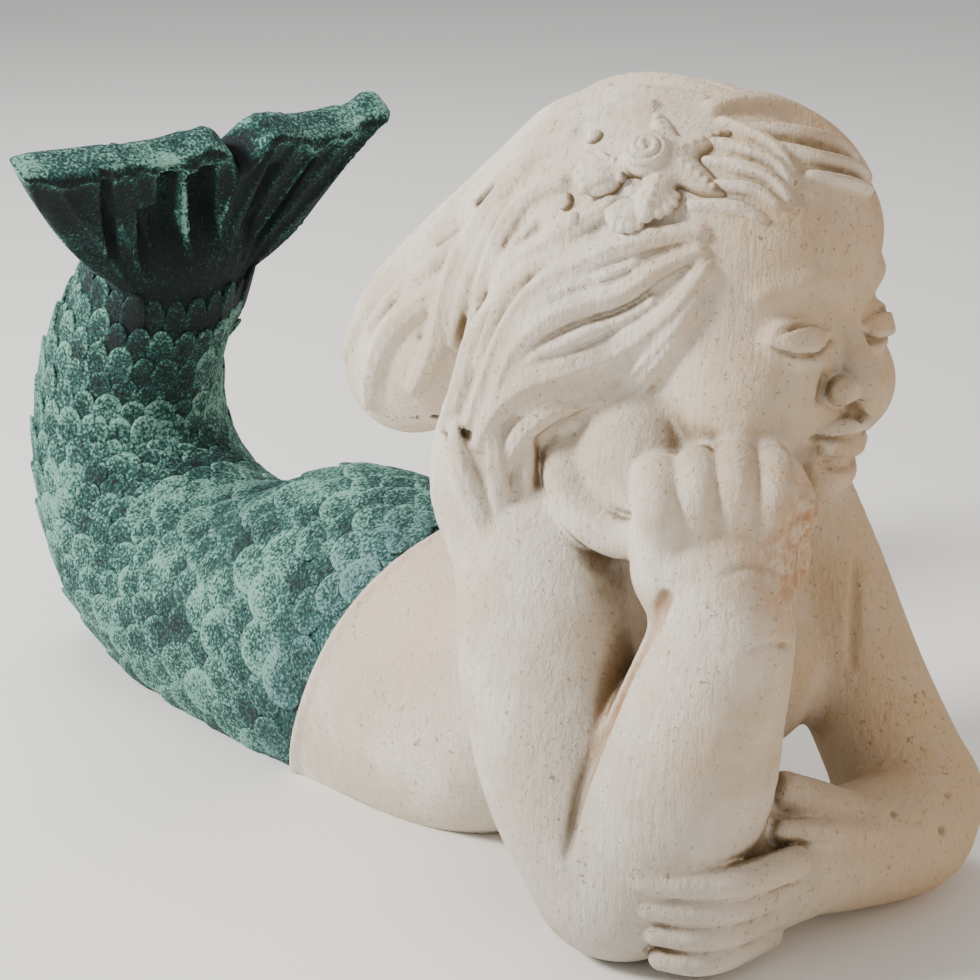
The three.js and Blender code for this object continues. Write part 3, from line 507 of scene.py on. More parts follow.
def faceForms():
    forms = [
        ball((0, 4, 8), (head["width"] / 2, head["depth"] / 2, head["height"] / 2), blend=10),
        ball((0, -14, -24), (45, 43, 44), blend=14),
        ball((0, -45, -57), (15, 14, 12), blend=9),
        ball((-2, -20, 20), (38, 41, 35), blend=14),
        limb([(0, -54, -2, 5), (0, -60, -16, 5.3), (0, -65.5, -26, 6.4)], blend=6),
        ball((0, -50, -41), (16, 11, 10), blend=8),
    ]
    for s in (-1, 1):
        forms += [
            ball((s * 26, -36, -32), (21, 19, 20), blend=10),
            ball((s * 21, -68, -6), (16, 13, 11), blend=8, cut=True),
            ball((s * 20.5, -48.5, -10.5), (13.5, 10, 9.5), blend=2),
            ball((s * 6.8, -60, -28.5), (5.6, 6.4, 5), blend=2.5),
        ]
    skin = list(forms)
    for s in (-1, 1):
        lash = [(s * 8.5, -54, -12, 1), (s * 14, -58, -15, 1.6), (s * 21, -59, -16.5, 1.8),
                (s * 28, -56, -15, 1.5), (s * 34, -50, -12, 0.9)]
        brow = [(s * 8, -56, 3, 3), (s * 20, -58, 8.5, 3.8), (s * 35, -48, 5, 2.4)]
        fold = [(s * 9, -54, -7, 0.8), (s * 20, -58, -2.5, 1.3), (s * 32, -52, -7, 0.8)]
        forms += [
            laidLimb(brow, skin, 0.5, blend=5),
            laidLimb([(x, y, z + 2.4, r * 1.1) for x, y, z, r in lash], skin, 0.45, blend=1.6),
            laidLimb(lash, skin, -0.15, blend=1, cut=True),
            laidLimb([(x, y, z - 3.4, r * 1.2) for x, y, z, r in lash[1:4]], skin, 0.6, blend=2.5),
            laidLimb(fold, skin, -0.2, blend=1.4, cut=True),
            laidLimb([(s * 12.5, -58, -23, 1), (s * 14.5, -55, -31, 1.2)], skin, -0.1, blend=2, cut=True),
            ball((s * 4.4, -63, -32.6), (2.6, 3.2, 2.2), blend=1.2, cut=True),
        ]
    forms += [
        laidLimb([(-13, -55, -43.5, 2), (-5.5, -61, -41, 3.6), (0, -61, -41.8, 3.2), (5.5, -61, -41, 3.6),
                  (13, -55, -43.5, 2)], skin, 0.1, blend=1.4),
        laidLimb([(-10, -56, -47.5, 2.6), (0, -60, -49.5, 4.2), (10, -56, -47.5, 2.6)], skin, 0.1, blend=1.4),
    ]
    lips = list(forms)
    forms += [
        laidLimb([(-15, -53, -43, 1.1), (-6, -62, -45, 1.4), (0, -63, -44.5, 1.5), (6, -62, -45, 1.4),
                  (15, -53, -43, 1.1)], lips, -0.05, blend=1, cut=True),
        laidLimb([(0, -62, -34, 1.6), (0, -61, -38.5, 2)], skin, -0.2, blend=1.6, cut=True),
        laidLimb([(-8, -55, -54, 1.8), (0, -57, -55, 2.4), (8, -55, -54, 1.8)], skin, -0.2, blend=3,
                 cut=True),
    ]
    return [placedAt(form, head["at"], head["turn"]) for form in forms]


# Hair: a swept-back mass and a fall on each shoulder, with thick carved locks laid over it. A
# lock's numbers are its path, half width at the middle and thickness.
hair = dict(
    sink=0.32,
    strands=3,
    groove=0.7,
    leafShare=(0.22, 0.8),  # where a short leaf fills the hollow between two locks
)
sideLocks = [
    ([(-23, 99, 271), (-35, 106, 253), (-42, 118, 236),
      (-43, 136, 220), (-43, 155, 203), (-42, 172, 178)], 7.5, 8),
    ([(-44, 76, 264), (-46, 93, 246), (-49, 103, 228),
      (-50, 109, 211), (-47, 116, 193), (-43, 132, 174)], 7, 8),
    ([(-48, 52, 263), (-50, 69, 254), (-51, 80, 237),
      (-50, 89, 219), (-55, 96, 200), (-58, 92, 178)], 5.5, 7.5),
    ([(-46, 30, 258), (-53, 46, 246), (-54, 64, 233), (-55, 76, 219),
      (-66, 72, 207), (-75, 70, 194), (-80, 73, 178)], 7, 9),
    ([(-34, 0, 252), (-44, 16, 248), (-51, 34, 240), (-59, 46, 229),
      (-68, 54, 214), (-74, 58, 198), (-79, 62, 182)], 6, 8.5),
    ([(-35, -1, 246), (-41, 8, 241), (-46, 20, 231), (-57, 35, 223),
      (-67, 46, 213), (-72, 52, 198), (-76, 56, 180)], 5.5, 8.5),
    ([(-34, -3, 240), (-39, 6, 225), (-43, 18, 214), (-52, 27, 208),
      (-65, 39, 201), (-73, 50, 192), (-78, 58, 176)], 7, 9.5),
    ([(-36, -1, 229), (-40, 9, 213), (-43, 22, 201), (-52, 31, 194),
      (-65, 40, 188), (-71, 47, 178), (-74, 50, 168)], 6, 8.5),
    ([(-38, 4, 217), (-41, 13, 203), (-42, 28, 190), (-48, 38, 179), (-52, 41, 168)], 4.5, 6.5),
]
crownLocks = [
    ([(-50, 98, 230), (-50, 112, 216), (-50, 126, 206),
      (-49, 139, 194), (-47, 150, 177), (-42, 158, 163)], 6, 8),
    ([(-36, 60, 277), (-42, 82, 262), (-40, 104, 244),
      (-40, 128, 226), (-36, 152, 206), (-32, 173, 180)], 6.5, 7),
    ([(-18, 40, 288), (-28, 62, 281), (-33, 90, 264),
      (-34, 122, 241), (-34, 152, 214), (-26, 178, 182)], 6.5, 6.5),
    ([(-4, 28, 291), (-14, 55, 288), (-20, 90, 270),
      (-24, 126, 243), (-24, 158, 210), (-18, 179, 180)], 6.5, 6.5),
    ([(10, 26, 291), (4, 56, 289), (-2, 92, 268),
      (-10, 130, 238), (-14, 160, 205), (-12, 176, 178)], 6.5, 6.5),
    ([(24, 20, 287), (22, 56, 284), (16, 95, 262), (6, 134, 232), (-4, 163, 195)], 7, 7),
    ([(36, 20, 278), (38, 60, 272), (33, 95, 250), (23, 130, 222), (10, 158, 190)], 7, 7),
    ([(47, 25, 264), (50, 60, 256), (48, 90, 234), (38, 120, 208), (22, 148, 180)], 7, 7.5),
]
browLocks = [
    ([(-5, 22, 288), (8, 20, 287), (22, 15, 283),
      (33, 5, 277), (38, -5, 269), (33, -13, 264)], 7.5, 10),
    ([(-3, 6, 282), (5, -2, 279), (15, -8, 277), (26, -10, 274), (35, -10, 269)], 4, 8.5),
    ([(-2, -5, 276), (6, -13, 272), (16, -17, 270), (27, -16, 266), (33, -13, 263)], 3.4, 7.5),
    ([(0, -16, 268), (9, -20, 265), (19, -21, 262), (28, -18, 259)], 2.8, 6.5),
    ([(-8, 16, 284), (-6, 7, 281), (-4, 0, 278), (-4, -6, 276), (-5, -13, 271)], 2.7, 5.5),
    ([(-18, 13, 278), (-14, 6, 277), (-11, -2, 275), (-8, -8, 272), (-8, -15, 267)], 3, 6),
    ([(-23, 9, 273), (-19, 1, 272), (-15, -6, 270), (-12, -12, 267), (-11, -17, 262)], 2.8, 6),
    ([(-27, 3, 267), (-22, -4, 266), (-17, -10, 264), (-14, -15, 260)], 2.6, 5.5),
    ([(-33, 5, 260), (-28, -1, 260), (-23, -8, 259), (-19, -13, 256)], 2.6, 5.5),
    ([(40, 22, 272), (46, 8, 265), (49, -2, 254), (48, -6, 242), (46, -4, 228)], 5.5, 8),
    ([(50, 30, 256), (54, 14, 248), (54, 4, 236), (52, 4, 220), (51, 10, 205)], 6, 8),
]
shoulderLocks = [
    ([(-80, 68, 180), (-80, 63, 164), (-82, 54, 148), (-84, 45, 136)], 6, 8.5),
    ([(-75, 54, 180), (-75, 52, 162), (-79, 44, 147), (-83, 37, 136)], 5.5, 8.5),
    ([(-68, 46, 178), (-68, 44, 161), (-73, 36, 147), (-79, 31, 137)], 5, 8),
    ([(-60, 42, 173), (-61, 39, 160), (-66, 33, 148)], 4, 6),
]
# round curls under the cheek: path, half width
cheekLocks = [
    ([(-52, 44, 182), (-58, 38, 168), (-59, 29, 155), (-55, 14, 148), (-50, -2, 151)], 8.5),
    ([(-46, 36, 184), (-52, 30, 174), (-53, 19, 164), (-49, 7, 160), (-45, -6, 162)], 5.5),
]
# nicks and cracks left by age: path, radius
nicks = [
    ([(-43, 98, 247), (-44, 90, 254)], 1.5),
    ([(-46, 117, 229), (-45, 107, 237)], 1.1),
    ([(-49, 124, 194), (-50, 121, 199)], 1.3),
    ([(-30, 38, 281), (-25, 31, 282), (-21, 25, 282)], 1.3),
    ([(-81, 76, 173), (-80, 67, 178), (-79, 60, 177)], 1.4),
    ([(-37, 153, 158), (-36, 147, 160)], 2.4),
    ([(-36, 142, 160), (-35, 139, 161)], 2.0),
    ([(-33, 134, 161), (-30, 128, 162)], 2.2),
]


def hairMass():
    return [
        ball((-4, 17, 16), (53, 62, 54), blend=5),
        limb([(0, 66, 236, 45), (-8, 106, 212, 40), (-16, 142, 187, 34), (-21, 160, 172, 26)], blend=14),
        limb([(-42, 50, 210, 25), (-54, 66, 180, 25), (-60, 72, 152, 22), (-60, 66, 130, 15)], blend=10),
        limb([(45, 48, 210, 24), (52, 70, 175, 24), (50, 76, 145, 20)], blend=10),
        limb([(0, 66, 200, 42), (0, 78, 165, 36), (0, 86, 140, 30)], blend=12),
    ]


def resampled(path, count, start=0.0, end=1.0):
    rows = smoothRows(path, 6)
    at = np.r_[0, np.cumsum(np.linalg.norm(np.diff(rows, axis=0), axis=1))]
    wanted = np.linspace(start, end, count) * at[-1]
    return np.stack([np.interp(wanted, at, rows[:, c]) for c in range(3)], 1)


def hairLocks(skin):
    # every lock's places are laid on the skin together, then each becomes a strap
    count = 8
    mirrored = [([(4 - x, y + 14, z - 2) for x, y, z in path], w, t) for path, w, t in sideLocks]
    wanted = []
    for family in (sideLocks, mirrored, crownLocks):
        for i, (path, wide, thick) in enumerate(family):
            wanted.append((resampled(path, count), wide, thick, hair["strands"]))
            if i + 1 < len(family):
                after = family[i + 1][0]
                leaf = 0.5 * sum(resampled(beside, count, *hair["leafShare"]) for beside in (path, after))
                wanted.append((leaf, wide * 0.62, thick * 0.8, 1))
    for path, wide, thick in browLocks + shoulderLocks:
        wanted.append((resampled(path, count), wide, thick, 2 if wide > 5 else 1))
    at, normal = ontoSkin(skin, np.vstack([places for places, *_ in wanted]))
    share = np.linspace(0, 1, count)
    swell = 0.42 + 0.6 * np.sin(np.pi * (0.1 + 0.8 * share))
    rise = 0.5 + 0.52 * np.sin(np.pi * (0.08 + 0.84 * share))
    forms = []
    for i, (_, wide, thick, strands) in enumerate(wanted):
        part = slice(i * count, (i + 1) * count)
        sunk = at[part] - normal[part] * (hair["sink"] * thick * rise)[:, None]
        rows = np.column_stack([sunk, wide * swell, thick * rise, normal[part]])
        forms.append(strap(rows, strands=strands, groove=hair["groove"] if strands > 1 else 0))
    for path, halfWidth in cheekLocks:
        rows = [(*p, halfWidth * w) for p, w in zip(path, (0.6, 0.9, 1, 0.9, 0.6))]
        forms.append(limb(rows, blend=2))
    # the hair behind the cheek, inside the curl
    forms.append(ball((-40, 24, 172), (19, 21, 24), blend=5))
    return forms


# What the mould and the years left on the body: a fold inside the right arm, creases at the wrist
# and on the far arm, one bead of cement and the pits at the left elbow
def smallMarks():
    skin = [*bodyForms(), *armForms()]
    fold = [(-65, -19, 138, 1.8), (-68, -7, 111, 2.2), (-77, -3, 87, 2), (-86, -1, 70, 1.6),
            (-93, -1, 46, 0.9)]
    wrist = [(-57, -36, 148, 0.7), (-50, -40, 150, 1), (-41, -43, 148, 0.7)]
    lowWrist = [(-55, -46, 124, 0.6), (-47, -49, 125, 0.9), (-34, -47, 120, 0.6)]
    farArm = [(58, 5, 115, 0.8), (52, 0, 98, 1.4), (46, -6, 80, 0.8)]
    forms = [
        laidLimb(fold, skin, 0.1, blend=3, cut=True),
        laidLimb(wrist, skin, 0.0, blend=1.5, cut=True),
        laidLimb(lowWrist, skin, 0.0, blend=1.5, cut=True),
        laidLimb(farArm, skin, 0.0, blend=3, cut=True),
        ball((-61, -3, 151), 2.4, blend=1),
    ]
    pits = [(21, -50, 45), (40, -57, 34), (51, -50, 43), (30, -54, 40)]
    at, normal = ontoSkin(skin, np.array(pits, float))
    for spot, size in zip(at, (1.6, 2.0, 1.5, 1.2)):
        forms.append(ball(spot, size, blend=1, cut=True))
    return forms


def figureForms():
    face = faceForms()
    mass = hairMass()
    mass[0] = placedAt(mass[0], head["at"], head["turn"])
    ground = dict(low=np.array([-500.0, -500, -90]), high=np.array([500.0, 500, 3]), blend=0.6, cut=True,
                  distance=lambda p: p[:, 2])
    cracks = [limb([(*p, radius) for p in path], blend=1, cut=True) for path, radius in nicks]
    locks = hairLocks(face[:4] + mass)
    return [*bodyForms(), flukeForm(), *armForms(), *face, *mass, *locks, *smallMarks(), *cracks, ground]


# A starfish, a rose and three fan shells set in the hair over her right temple, modelled finer
# than the rest of the casting they are part of
ornaments = dict(
    step=0.65,
    faces=60000,
    outward=(-0.54, -0.36, 0.76),
    side=(0.55, -0.83, 0.0),
    star=((-30, 18, 272.5), 21.5),
    starAngles=(40, -32, -104, 112, 184),
    rose=((-34, 24, 272.5), 8.4),
    shells=[((-43, 37, 266), 8.4, 165), ((-39, 16, 261.5), 7.2, -60), ((-44, 23, 255.5), 6.6, -115)],
    beads=[((-50, 48, 257), 3.2), ((-36, 49, 278), 3.0), ((-52, 40, 252), 2.4)],
)


def ornamentForms(skin):
    o = ornaments
    side = unitOf(np.array(o["side"]))
    outward = unitOf(np.array(o["outward"]))
    rise = np.cross(outward, side)
    turn = np.column_stack([side, rise, outward])
    centres = [o["star"][0], o["rose"][0], *[s[0] for s in o["shells"]], *[b[0] for b in o["beads"]]]
    at, _ = ontoSkin(skin, np.array(centres, float))

    def spun(angle, radius, lift, size):
        a = math.radians(angle)
        return (radius * math.cos(a), radius * math.sin(a), lift, size)

    star = [ball((0, 0, -0.5), (10, 10, 5.5), blend=2)]
    for angle in o["starAngles"]:
        reach = o["star"][1]
        arm = [spun(angle, reach * share, -1.0 - 1.6 * share, size)
               for share, size in ((0, 6.6), (0.4, 5.6), (0.75, 4.2), (1, 2.4))]
        star.append(limb(arm, blend=1.5))
        for share in (0.25, 0.42, 0.58, 0.73, 0.87):
            x, y, _, _ = spun(angle, reach * share, 0, 0)
            star.append(ball((x, y, 5.2 - 4.6 * share), 1.3, blend=0.4))
    wide = o["rose"][1]
    rose = [ball((0, 0, 0.5), (wide, wide, 6.5), blend=1)]
    coil = []
    for step in range(25):
        radius = 1.4 + 0.26 * step
        onDome = 0.5 + 6.5 * math.sqrt(max(1 - (radius / wide) ** 2, 0))
        coil.append(spun(230 - step * 36, radius, onDome, 1.15))
    rose.append(limb(coil, blend=0.3, perSpan=2))
    groups = [(star, at[0]), (rose, at[1] + 2.5 * outward)]
    for i, (_, size, facing) in enumerate(o["shells"]):
        shell = [ball((0, 0, 0.5), (size, size, 4), blend=1.5)]
        for rib in range(6):
            angle = facing - 62 + 25 * rib
            hinge = spun(facing + 180, size * 0.75, 2.5, 1.2)
            tip = spun(angle, size * 0.95, 1.2, 2.1)
            middle = [0.5 * (a + b) for a, b in zip(hinge, tip)]
            middle[2] += 1.6
            shell.append(limb([hinge, middle, tip], blend=0.6))
        shell.append(ball(spun(facing + 180, size * 0.78, 3, 0)[:3], 2.2, blend=0.8))
        groups.append((shell, at[2 + i]))
    forms = [placedAt(form, spot, turn) for group, spot in groups for form in group]
    first = 2 + len(o["shells"])
    forms += [ball(spot, size, blend=1) for spot, (_, size) in zip(at[first:], o["beads"])]
    return forms


def sampledField(forms, low, high, step, k):
    # distances on a grid: sparse where the skin is far, exact near it
    low = np.array(low, float)
    cells = np.ceil((np.array(high) - low) / step / k).astype(int)
    axes = [low[i] + np.arange(cells[i] + 1) * step * k for i in range(3)]
    grid = np.stack(np.meshgrid(*axes, indexing="ij"), -1).reshape(-1, 3)
    rough = fieldSorted(forms, grid).reshape([n + 1 for n in cells])
    close = np.abs(rough) < step * k * 0.9
    nearCell = np.zeros(cells, bool)
    inside = np.zeros(cells, int)
    for corner in np.ndindex(2, 2, 2):
        part = tuple(slice(c, n + c) for c, n in zip(corner, cells))
        nearCell |= close[part]
        inside += rough[part] < 0
    nearCell |= (inside > 0) & (inside < 8)
    near = np.zeros([n * k + 1 for n in cells], bool)
    near[:-1, :-1, :-1] = nearCell.repeat(k, 0).repeat(k, 1).repeat(k, 2)
    for axis in range(3):
        ahead = [slice(None)] * 3
        behind = [slice(None)] * 3
        ahead[axis], behind[axis] = slice(1, None), slice(0, -1)
        moved = np.zeros_like(near)
        moved[tuple(ahead)] = near[tuple(behind)]
        near |= moved
    values = np.full(near.shape, 10.0, np.float32)
    deep = (rough[:-1, :-1, :-1] < 0).repeat(k, 0).repeat(k, 1).repeat(k, 2)
    values[:-1, :-1, :-1][deep] = -10.0
    index = np.nonzero(near)
    points = low + np.stack(index, 1) * step
    values[index] = fieldSorted(forms, points)
    return values, low, step


def surfaceNet(values, low, step):
    # one vertex in each cell that the skin crosses, one quad across each edge that it cuts
    inside = values < 0
    n = values.shape
    corners = list(np.ndindex(2, 2, 2))
    count = np.zeros([s - 1 for s in n], np.int8)
    for i, j, k in corners:
        count += inside[i:n[0] - 1 + i, j:n[1] - 1 + j, k:n[2] - 1 + k]
    cell = np.nonzero((count > 0) & (count < 8))
    value = np.stack([values[cell[0] + i, cell[1] + j, cell[2] + k] for i, j, k in corners], 1).astype(float)
    total = np.zeros((len(cell[0]), 3))
    hits = np.zeros(len(cell[0]))
    for a, first in enumerate(corners):
        for b in range(a + 1, 8):
            edge = np.subtract(corners[b], first)
            if np.abs(edge).sum() != 1:
                continue
            crossed = (value[:, a] < 0) != (value[:, b] < 0)
            t = np.where(crossed, value[:, a] / np.where(crossed, value[:, a] - value[:, b], 1), 0)
            total += np.where(crossed[:, None], np.array(first) + t[:, None] * edge, 0)
            hits += crossed
    points = (np.stack(cell, 1) + total / hits[:, None]) * step + low
    index = np.full(count.shape, -1, np.int64)
    index[cell] = np.arange(len(cell[0]))
    quads = []
    for axis in range(3):
        b, c = [(1, 2), (2, 0), (0, 1)][axis]
        before = [slice(0, n[0]), slice(0, n[1]), slice(0, n[2])]
        after = list(before)
        before[axis], after[axis] = slice(0, n[axis] - 1), slice(1, n[axis])
        for part in (before, after):
            part[b], part[c] = slice(1, n[b] - 1), slice(1, n[c] - 1)
        start, end = inside[tuple(before)], inside[tuple(after)]
        edges = np.stack(np.nonzero(start != end), 1)
        leaving = start[tuple(edges.T)]
        edges[:, b] += 1
        edges[:, c] += 1
        ring = []
        for db, dc in ((-1, -1), (0, -1), (0, 0), (-1, 0)):
            around = edges.copy()
            around[:, b] += db
            around[:, c] += dc
            ring.append(index[tuple(around.T)])
        made = np.stack(ring, 1)
        made[~leaving] = made[~leaving][:, ::-1]
        quads.append(made)
    return points, np.vstack(quads)


def settled(forms, points, quads, step):
    # evens the net out and pulls it back onto the true skin along its own normals
    ends = np.vstack([quads[:, [0, 1]], quads[:, [1, 2]], quads[:, [2, 3]], quads[:, [3, 0]]])
    total = np.zeros_like(points)
    degree = np.zeros(len(points))
    for a, b in ((0, 1), (1, 0)):
        for c in range(3):
            total[:, c] += np.bincount(ends[:, a], points[ends[:, b], c], len(points))
        degree += np.bincount(ends[:, a], minlength=len(points))
    points = points + 0.6 * (total / degree[:, None] - points)
    across = np.cross(points[quads[:, 2]] - points[quads[:, 0]], points[quads[:, 3]] - points[quads[:, 1]])
    normal = np.zeros_like(points)
    for corner in range(4):
        for c in range(3):
            normal[:, c] += np.bincount(quads[:, corner], across[:, c], len(points))
    d = fieldAt(forms, points)
    return points - (0.9 * np.clip(d, -step, step))[:, None] * unitOf(normal)


def meshOf(name, points, faces):
    sides = faces.shape[1]
    mesh = bpy.data.meshes.new(name)
    mesh.vertices.add(len(points))
    mesh.vertices.foreach_set("co", np.asarray(points, np.float32).ravel())
    mesh.loops.add(len(faces) * sides)
    mesh.loops.foreach_set("vertex_index", faces.astype(np.int32).ravel())
    mesh.polygons.add(len(faces))
    mesh.polygons.foreach_set("loop_start", np.arange(len(faces), dtype=np.int32) * sides)
    mesh.update(calc_edges=True)
    mesh.validate()
    return mesh


def newObject(name, mesh):
    obj = bpy.data.objects.new(name, mesh)
    bpy.context.scene.collection.objects.link(obj)
    return obj


def bakedMesh(obj):
    # the mesh with its modifiers applied
    bpy.context.view_layer.update()
    evaluated = obj.evaluated_get(bpy.context.evaluated_depsgraph_get())
    mesh = bpy.data.meshes.new_from_object(evaluated)
    obj.modifiers.clear()
    return mesh


def placesOf(mesh):
    co = np.empty(len(mesh.vertices) * 3, np.float32)
    mesh.vertices.foreach_get("co", co)
    return co.reshape(-1, 3).astype(float)


def keepValues(mesh, name, values):
    kept = mesh.attributes.new(name, "FLOAT", "POINT")
    kept.data.foreach_set("value", values.astype(np.float32))


def normalsOf(mesh):
    normal = np.empty(len(mesh.vertices) * 3, np.float32)
    mesh.vertex_normals.foreach_get("vector", normal)
    return normal.reshape(-1, 3).astype(float)


def shadeValues(forms, p, normal):
    # how hollow, how proud and how creased each point of the skin lies, from 0 to 1
    hollow = np.zeros(len(p))
    for reach, share in ((8.0, 0.5), (18.0, 0.5)):
        hollow += share * np.clip(1 - fieldAt(forms, p + normal * reach) / reach, 0, 1)
    ridge = np.clip(1 + fieldAt(forms, p - normal * 4.0) / 4.0, 0, 1)
    crease = np.clip(1 - fieldAt(forms, p + normal * 3.0) / 3.0, 0, 1)
    return dict(hollow=hollow, ridge=ridge, crease=crease)


def paintedShadeShare(p, normal):
    # painted shade that takes the paint nearly black: on the upright towards the head, under the fluke
    # and on the fluke's front below its rim
    towardsHead = np.clip((normal @ np.array([-0.375, -0.927, 0]) - 0.72) / 0.2, 0, 1)
    upright = towardsHead * np.clip((p[:, 2] - 95) / 30, 0, 1) * (p[:, 1] > 290)
    lean = math.radians(fluke["lean"])
    q = p - np.array(fluke["root"])
    up = q @ np.array([0, -math.sin(lean), math.cos(lean)])
    facing = np.clip(normal @ np.array([0, -math.cos(lean), -math.sin(lean)]), 0, 1)
    front = 0.75 * facing * np.clip((66 - up) / 8, 0, 1) * (up > -24) * (p[:, 2] > 140)
    root = 0.8 * np.exp(-(((up + 2) / 14) ** 2)) * (p[:, 2] > 140)
    return np.clip(np.maximum(0.85 * upright, 0.9 * front) + root, 0, 1)


def toFrame(p):
    return (p + place) * 0.001


def carved(name, forms, low, high, step, faces):
    # the forms' skin as a fine mesh in millimetres, thinned where it is plain
    points, quads = surfaceNet(*sampledField(forms, low, high, step, clay["coarser"]))
    points = settled(forms, points, quads, step)
    points[:, 2] = np.where(points[:, 2] < 0.3 * step, 0.0, points[:, 2])
    print(name, "skin:", len(points), "points,", len(quads), "quads")
    obj = newObject(name, meshOf(name, points, quads))
    thinning = obj.modifiers.new("thinning", "DECIMATE")
    thinning.ratio = min(1.0, faces / (2 * len(quads)))
    obj.data = bakedMesh(obj)
    return obj


def finished(obj, points):
    # puts a mesh of millimetres in its place in the frame
    obj.data.vertices.foreach_set("co", toFrame(points).astype(np.float32).ravel())
    obj.data.polygons.foreach_set("use_smooth", [True] * len(obj.data.polygons))
    obj.data.update()
    print(obj.name, len(obj.data.polygons), "faces")


figure = figureForms()
mermaid = carved("mermaid_statue", figure, clay["low"], clay["high"], clay["step"], clay["faces"])
skinPoints = placesOf(mermaid.data)

# The middle of the casting's box is the origin of the frame, on the ground
middle = (skinPoints.min(0) + skinPoints.max(0)) / 2
frameMiddle = 500 * (np.array(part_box("mermaid")[0]) + np.array(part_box("mermaid")[1]))
place = np.array([frameMiddle[0] - middle[0], frameMiddle[1] - middle[1], 0])
print("middle of the clay", np.round(middle, 2), "moved by", np.round(place, 2))

skinNormals = normalsOf(mermaid.data)
for name, values in shadeValues(figure, skinPoints, skinNormals).items():
    keepValues(mermaid.data, name, values)
keepValues(mermaid.data, "damp", paintedShadeShare(skinPoints, skinNormals))
behind = behindWaist(skinPoints)
onTail = np.clip(behind / 1.6 + 0.5, 0, 1) * ((skinPoints[:, 2] < 122) | (skinPoints[:, 1] > 245))
keepValues(mermaid.data, "painted", onTail)
finished(mermaid, skinPoints)

trinkets = ornamentForms([f for f in figure if not f["cut"]])
low = np.min([f["low"] for f in trinkets], 0) - 2
high = np.max([f["high"] for f in trinkets], 0) + 2
ornament = carved("hair_ornaments", trinkets, low, high, ornaments["step"], ornaments["faces"])
ornamentPoints = placesOf(ornament.data)
for name, values in shadeValues(trinkets + figure, ornamentPoints, normalsOf(ornament.data)).items():
    keepValues(ornament.data, name, values)
finished(ornament, ornamentPoints)


# Scales: one shell repeated in rows round the tail, free edges towards the fluke
scales = dict(
    pitch=14.5,             # from one row to the next along the spine
    around=23,
    overlap=1.75,           # a scale's length in rows
    breadth=1.12,           # its width in columns
    lift=1.9,               # how far the free edge stands up
    sides=18,
    shares=(0.35, 0.62, 0.82, 0.94, 1.0, 0.9),      # rings of a scale, from its middle outwards
    drops=(0, 0, 0, 0, 0.05, 0.35, 1.3),            # how far the middle and each ring drop
)


def scaleShell():
    # A shield one unit long and two wide, its free edge at +X, standing up towards that edge
    sides, rings = scales["sides"], len(scales["shares"])
    angle = np.arange(sides) / sides * 2 * np.pi
    outlineX = np.where(np.cos(angle) > 0, np.cos(angle), 0.85 * np.cos(angle))
    outlineY = np.sin(angle) * np.where(np.cos(angle) > 0, 1.0, 1 - 0.25 * np.cos(angle) ** 2)
    rows = [(0.0, 0.0, 0.0)]
    for share in scales["shares"]:
        rows += [(share * x, share * y, share) for x, y in zip(outlineX, outlineY)]
    rows = np.array(rows)
    x, y = rows[:, 0], rows[:, 1]
    ring = (np.arange(len(rows)) + sides - 1) // sides
    tilt = 0.5 + 0.5 * x
    z = tilt + 0.22 * (1 - y * y) - 0.18
    z = z - np.array(scales["drops"])[ring]
    faces = [(0, 1 + k, 1 + (k + 1) % sides) for k in range(sides)]
    quadFaces = []
    for r in range(rings - 1):
        first = 1 + r * sides
        for k in range(sides):
            n = (k + 1) % sides
            quadFaces.append((first + k, first + sides + k, first + sides + n, first + n))
    last = 1 + (rings - 1) * sides
    under = tuple(last + k for k in range(sides))[::-1]
    mesh = bpy.data.meshes.new("scale_shell")
    mesh.from_pydata(np.column_stack([x, y, z]).tolist(), [], faces + quadFaces + [under])
    rim = np.clip((rows[:, 2] - 0.5) / 0.45, 0, 1) * np.clip(x + 0.55, 0, 1)
    keepValues(mesh, "rim", np.where(ring == rings, 0, rim))
    mesh.update()
    return mesh


def scalePlaces():
    # where each scale sits on the skin, with the skin's normal and the way along the tail
    skin = [*bodyForms(), flukeForm()]
    rows = smoothRows(tail["spine"], 8)
    length = np.r_[0, np.cumsum(np.linalg.norm(np.diff(rows[:, 1:3], axis=0), axis=1))]

    def guess(s, turns):
        value = np.array([np.interp(s, length, rows[:, c]) for c in range(7)])
        ahead = np.array([np.interp(s + 2, length, rows[:, c]) for c in range(7)])
        back = np.array([np.interp(s - 2, length, rows[:, c]) for c in range(7)])
        way = unitOf(ahead[1:3] - back[1:3])
        over = np.array([-way[1], way[0]])
        a = turns * 2 * math.pi
        deep = value[4] if math.cos(a) > 0 else value[5]
        offset = over * deep * math.cos(a)
        return [value[0] + value[3] * math.sin(a), value[1] + offset[0], value[2] + offset[1]]

    count = int(length[-1] / scales["pitch"])
    made = []
    for i in range(count):
        for j in range(scales["around"]):
            turns = (j + (i % 2) / 2) / scales["around"]
            s = (i + 0.3) * scales["pitch"]
            spots = [guess(s, turns), guess(s + scales["pitch"], turns),
                     guess(s, turns + 1 / scales["around"])]
            made.append(np.concatenate(spots))
    made = np.array(made)
    at, normal = ontoSkin(skin, made[:, :3])
    ahead, _ = ontoSkin(skin, made[:, 3:6])
    beside, _ = ontoSkin(skin, made[:, 6:])
    along = ahead - at
    rowGap = np.linalg.norm(along, axis=1)
    columnGap = np.linalg.norm(beside - at, axis=1)
    free = (behindWaist(at) > 2.5) & (at[:, 2] > 1) & (rowGap > 2) & (rowGap < 30)
    lean = math.radians(fluke["lean"])
    onFluke = (at - np.array(fluke["root"])) @ np.array([0, -math.sin(lean), math.cos(lean)])
    free &= ~((at[:, 2] > 150) & (onFluke > 2))
    return at[free], normal[free], unitOf(along)[free], rowGap[free], columnGap[free]


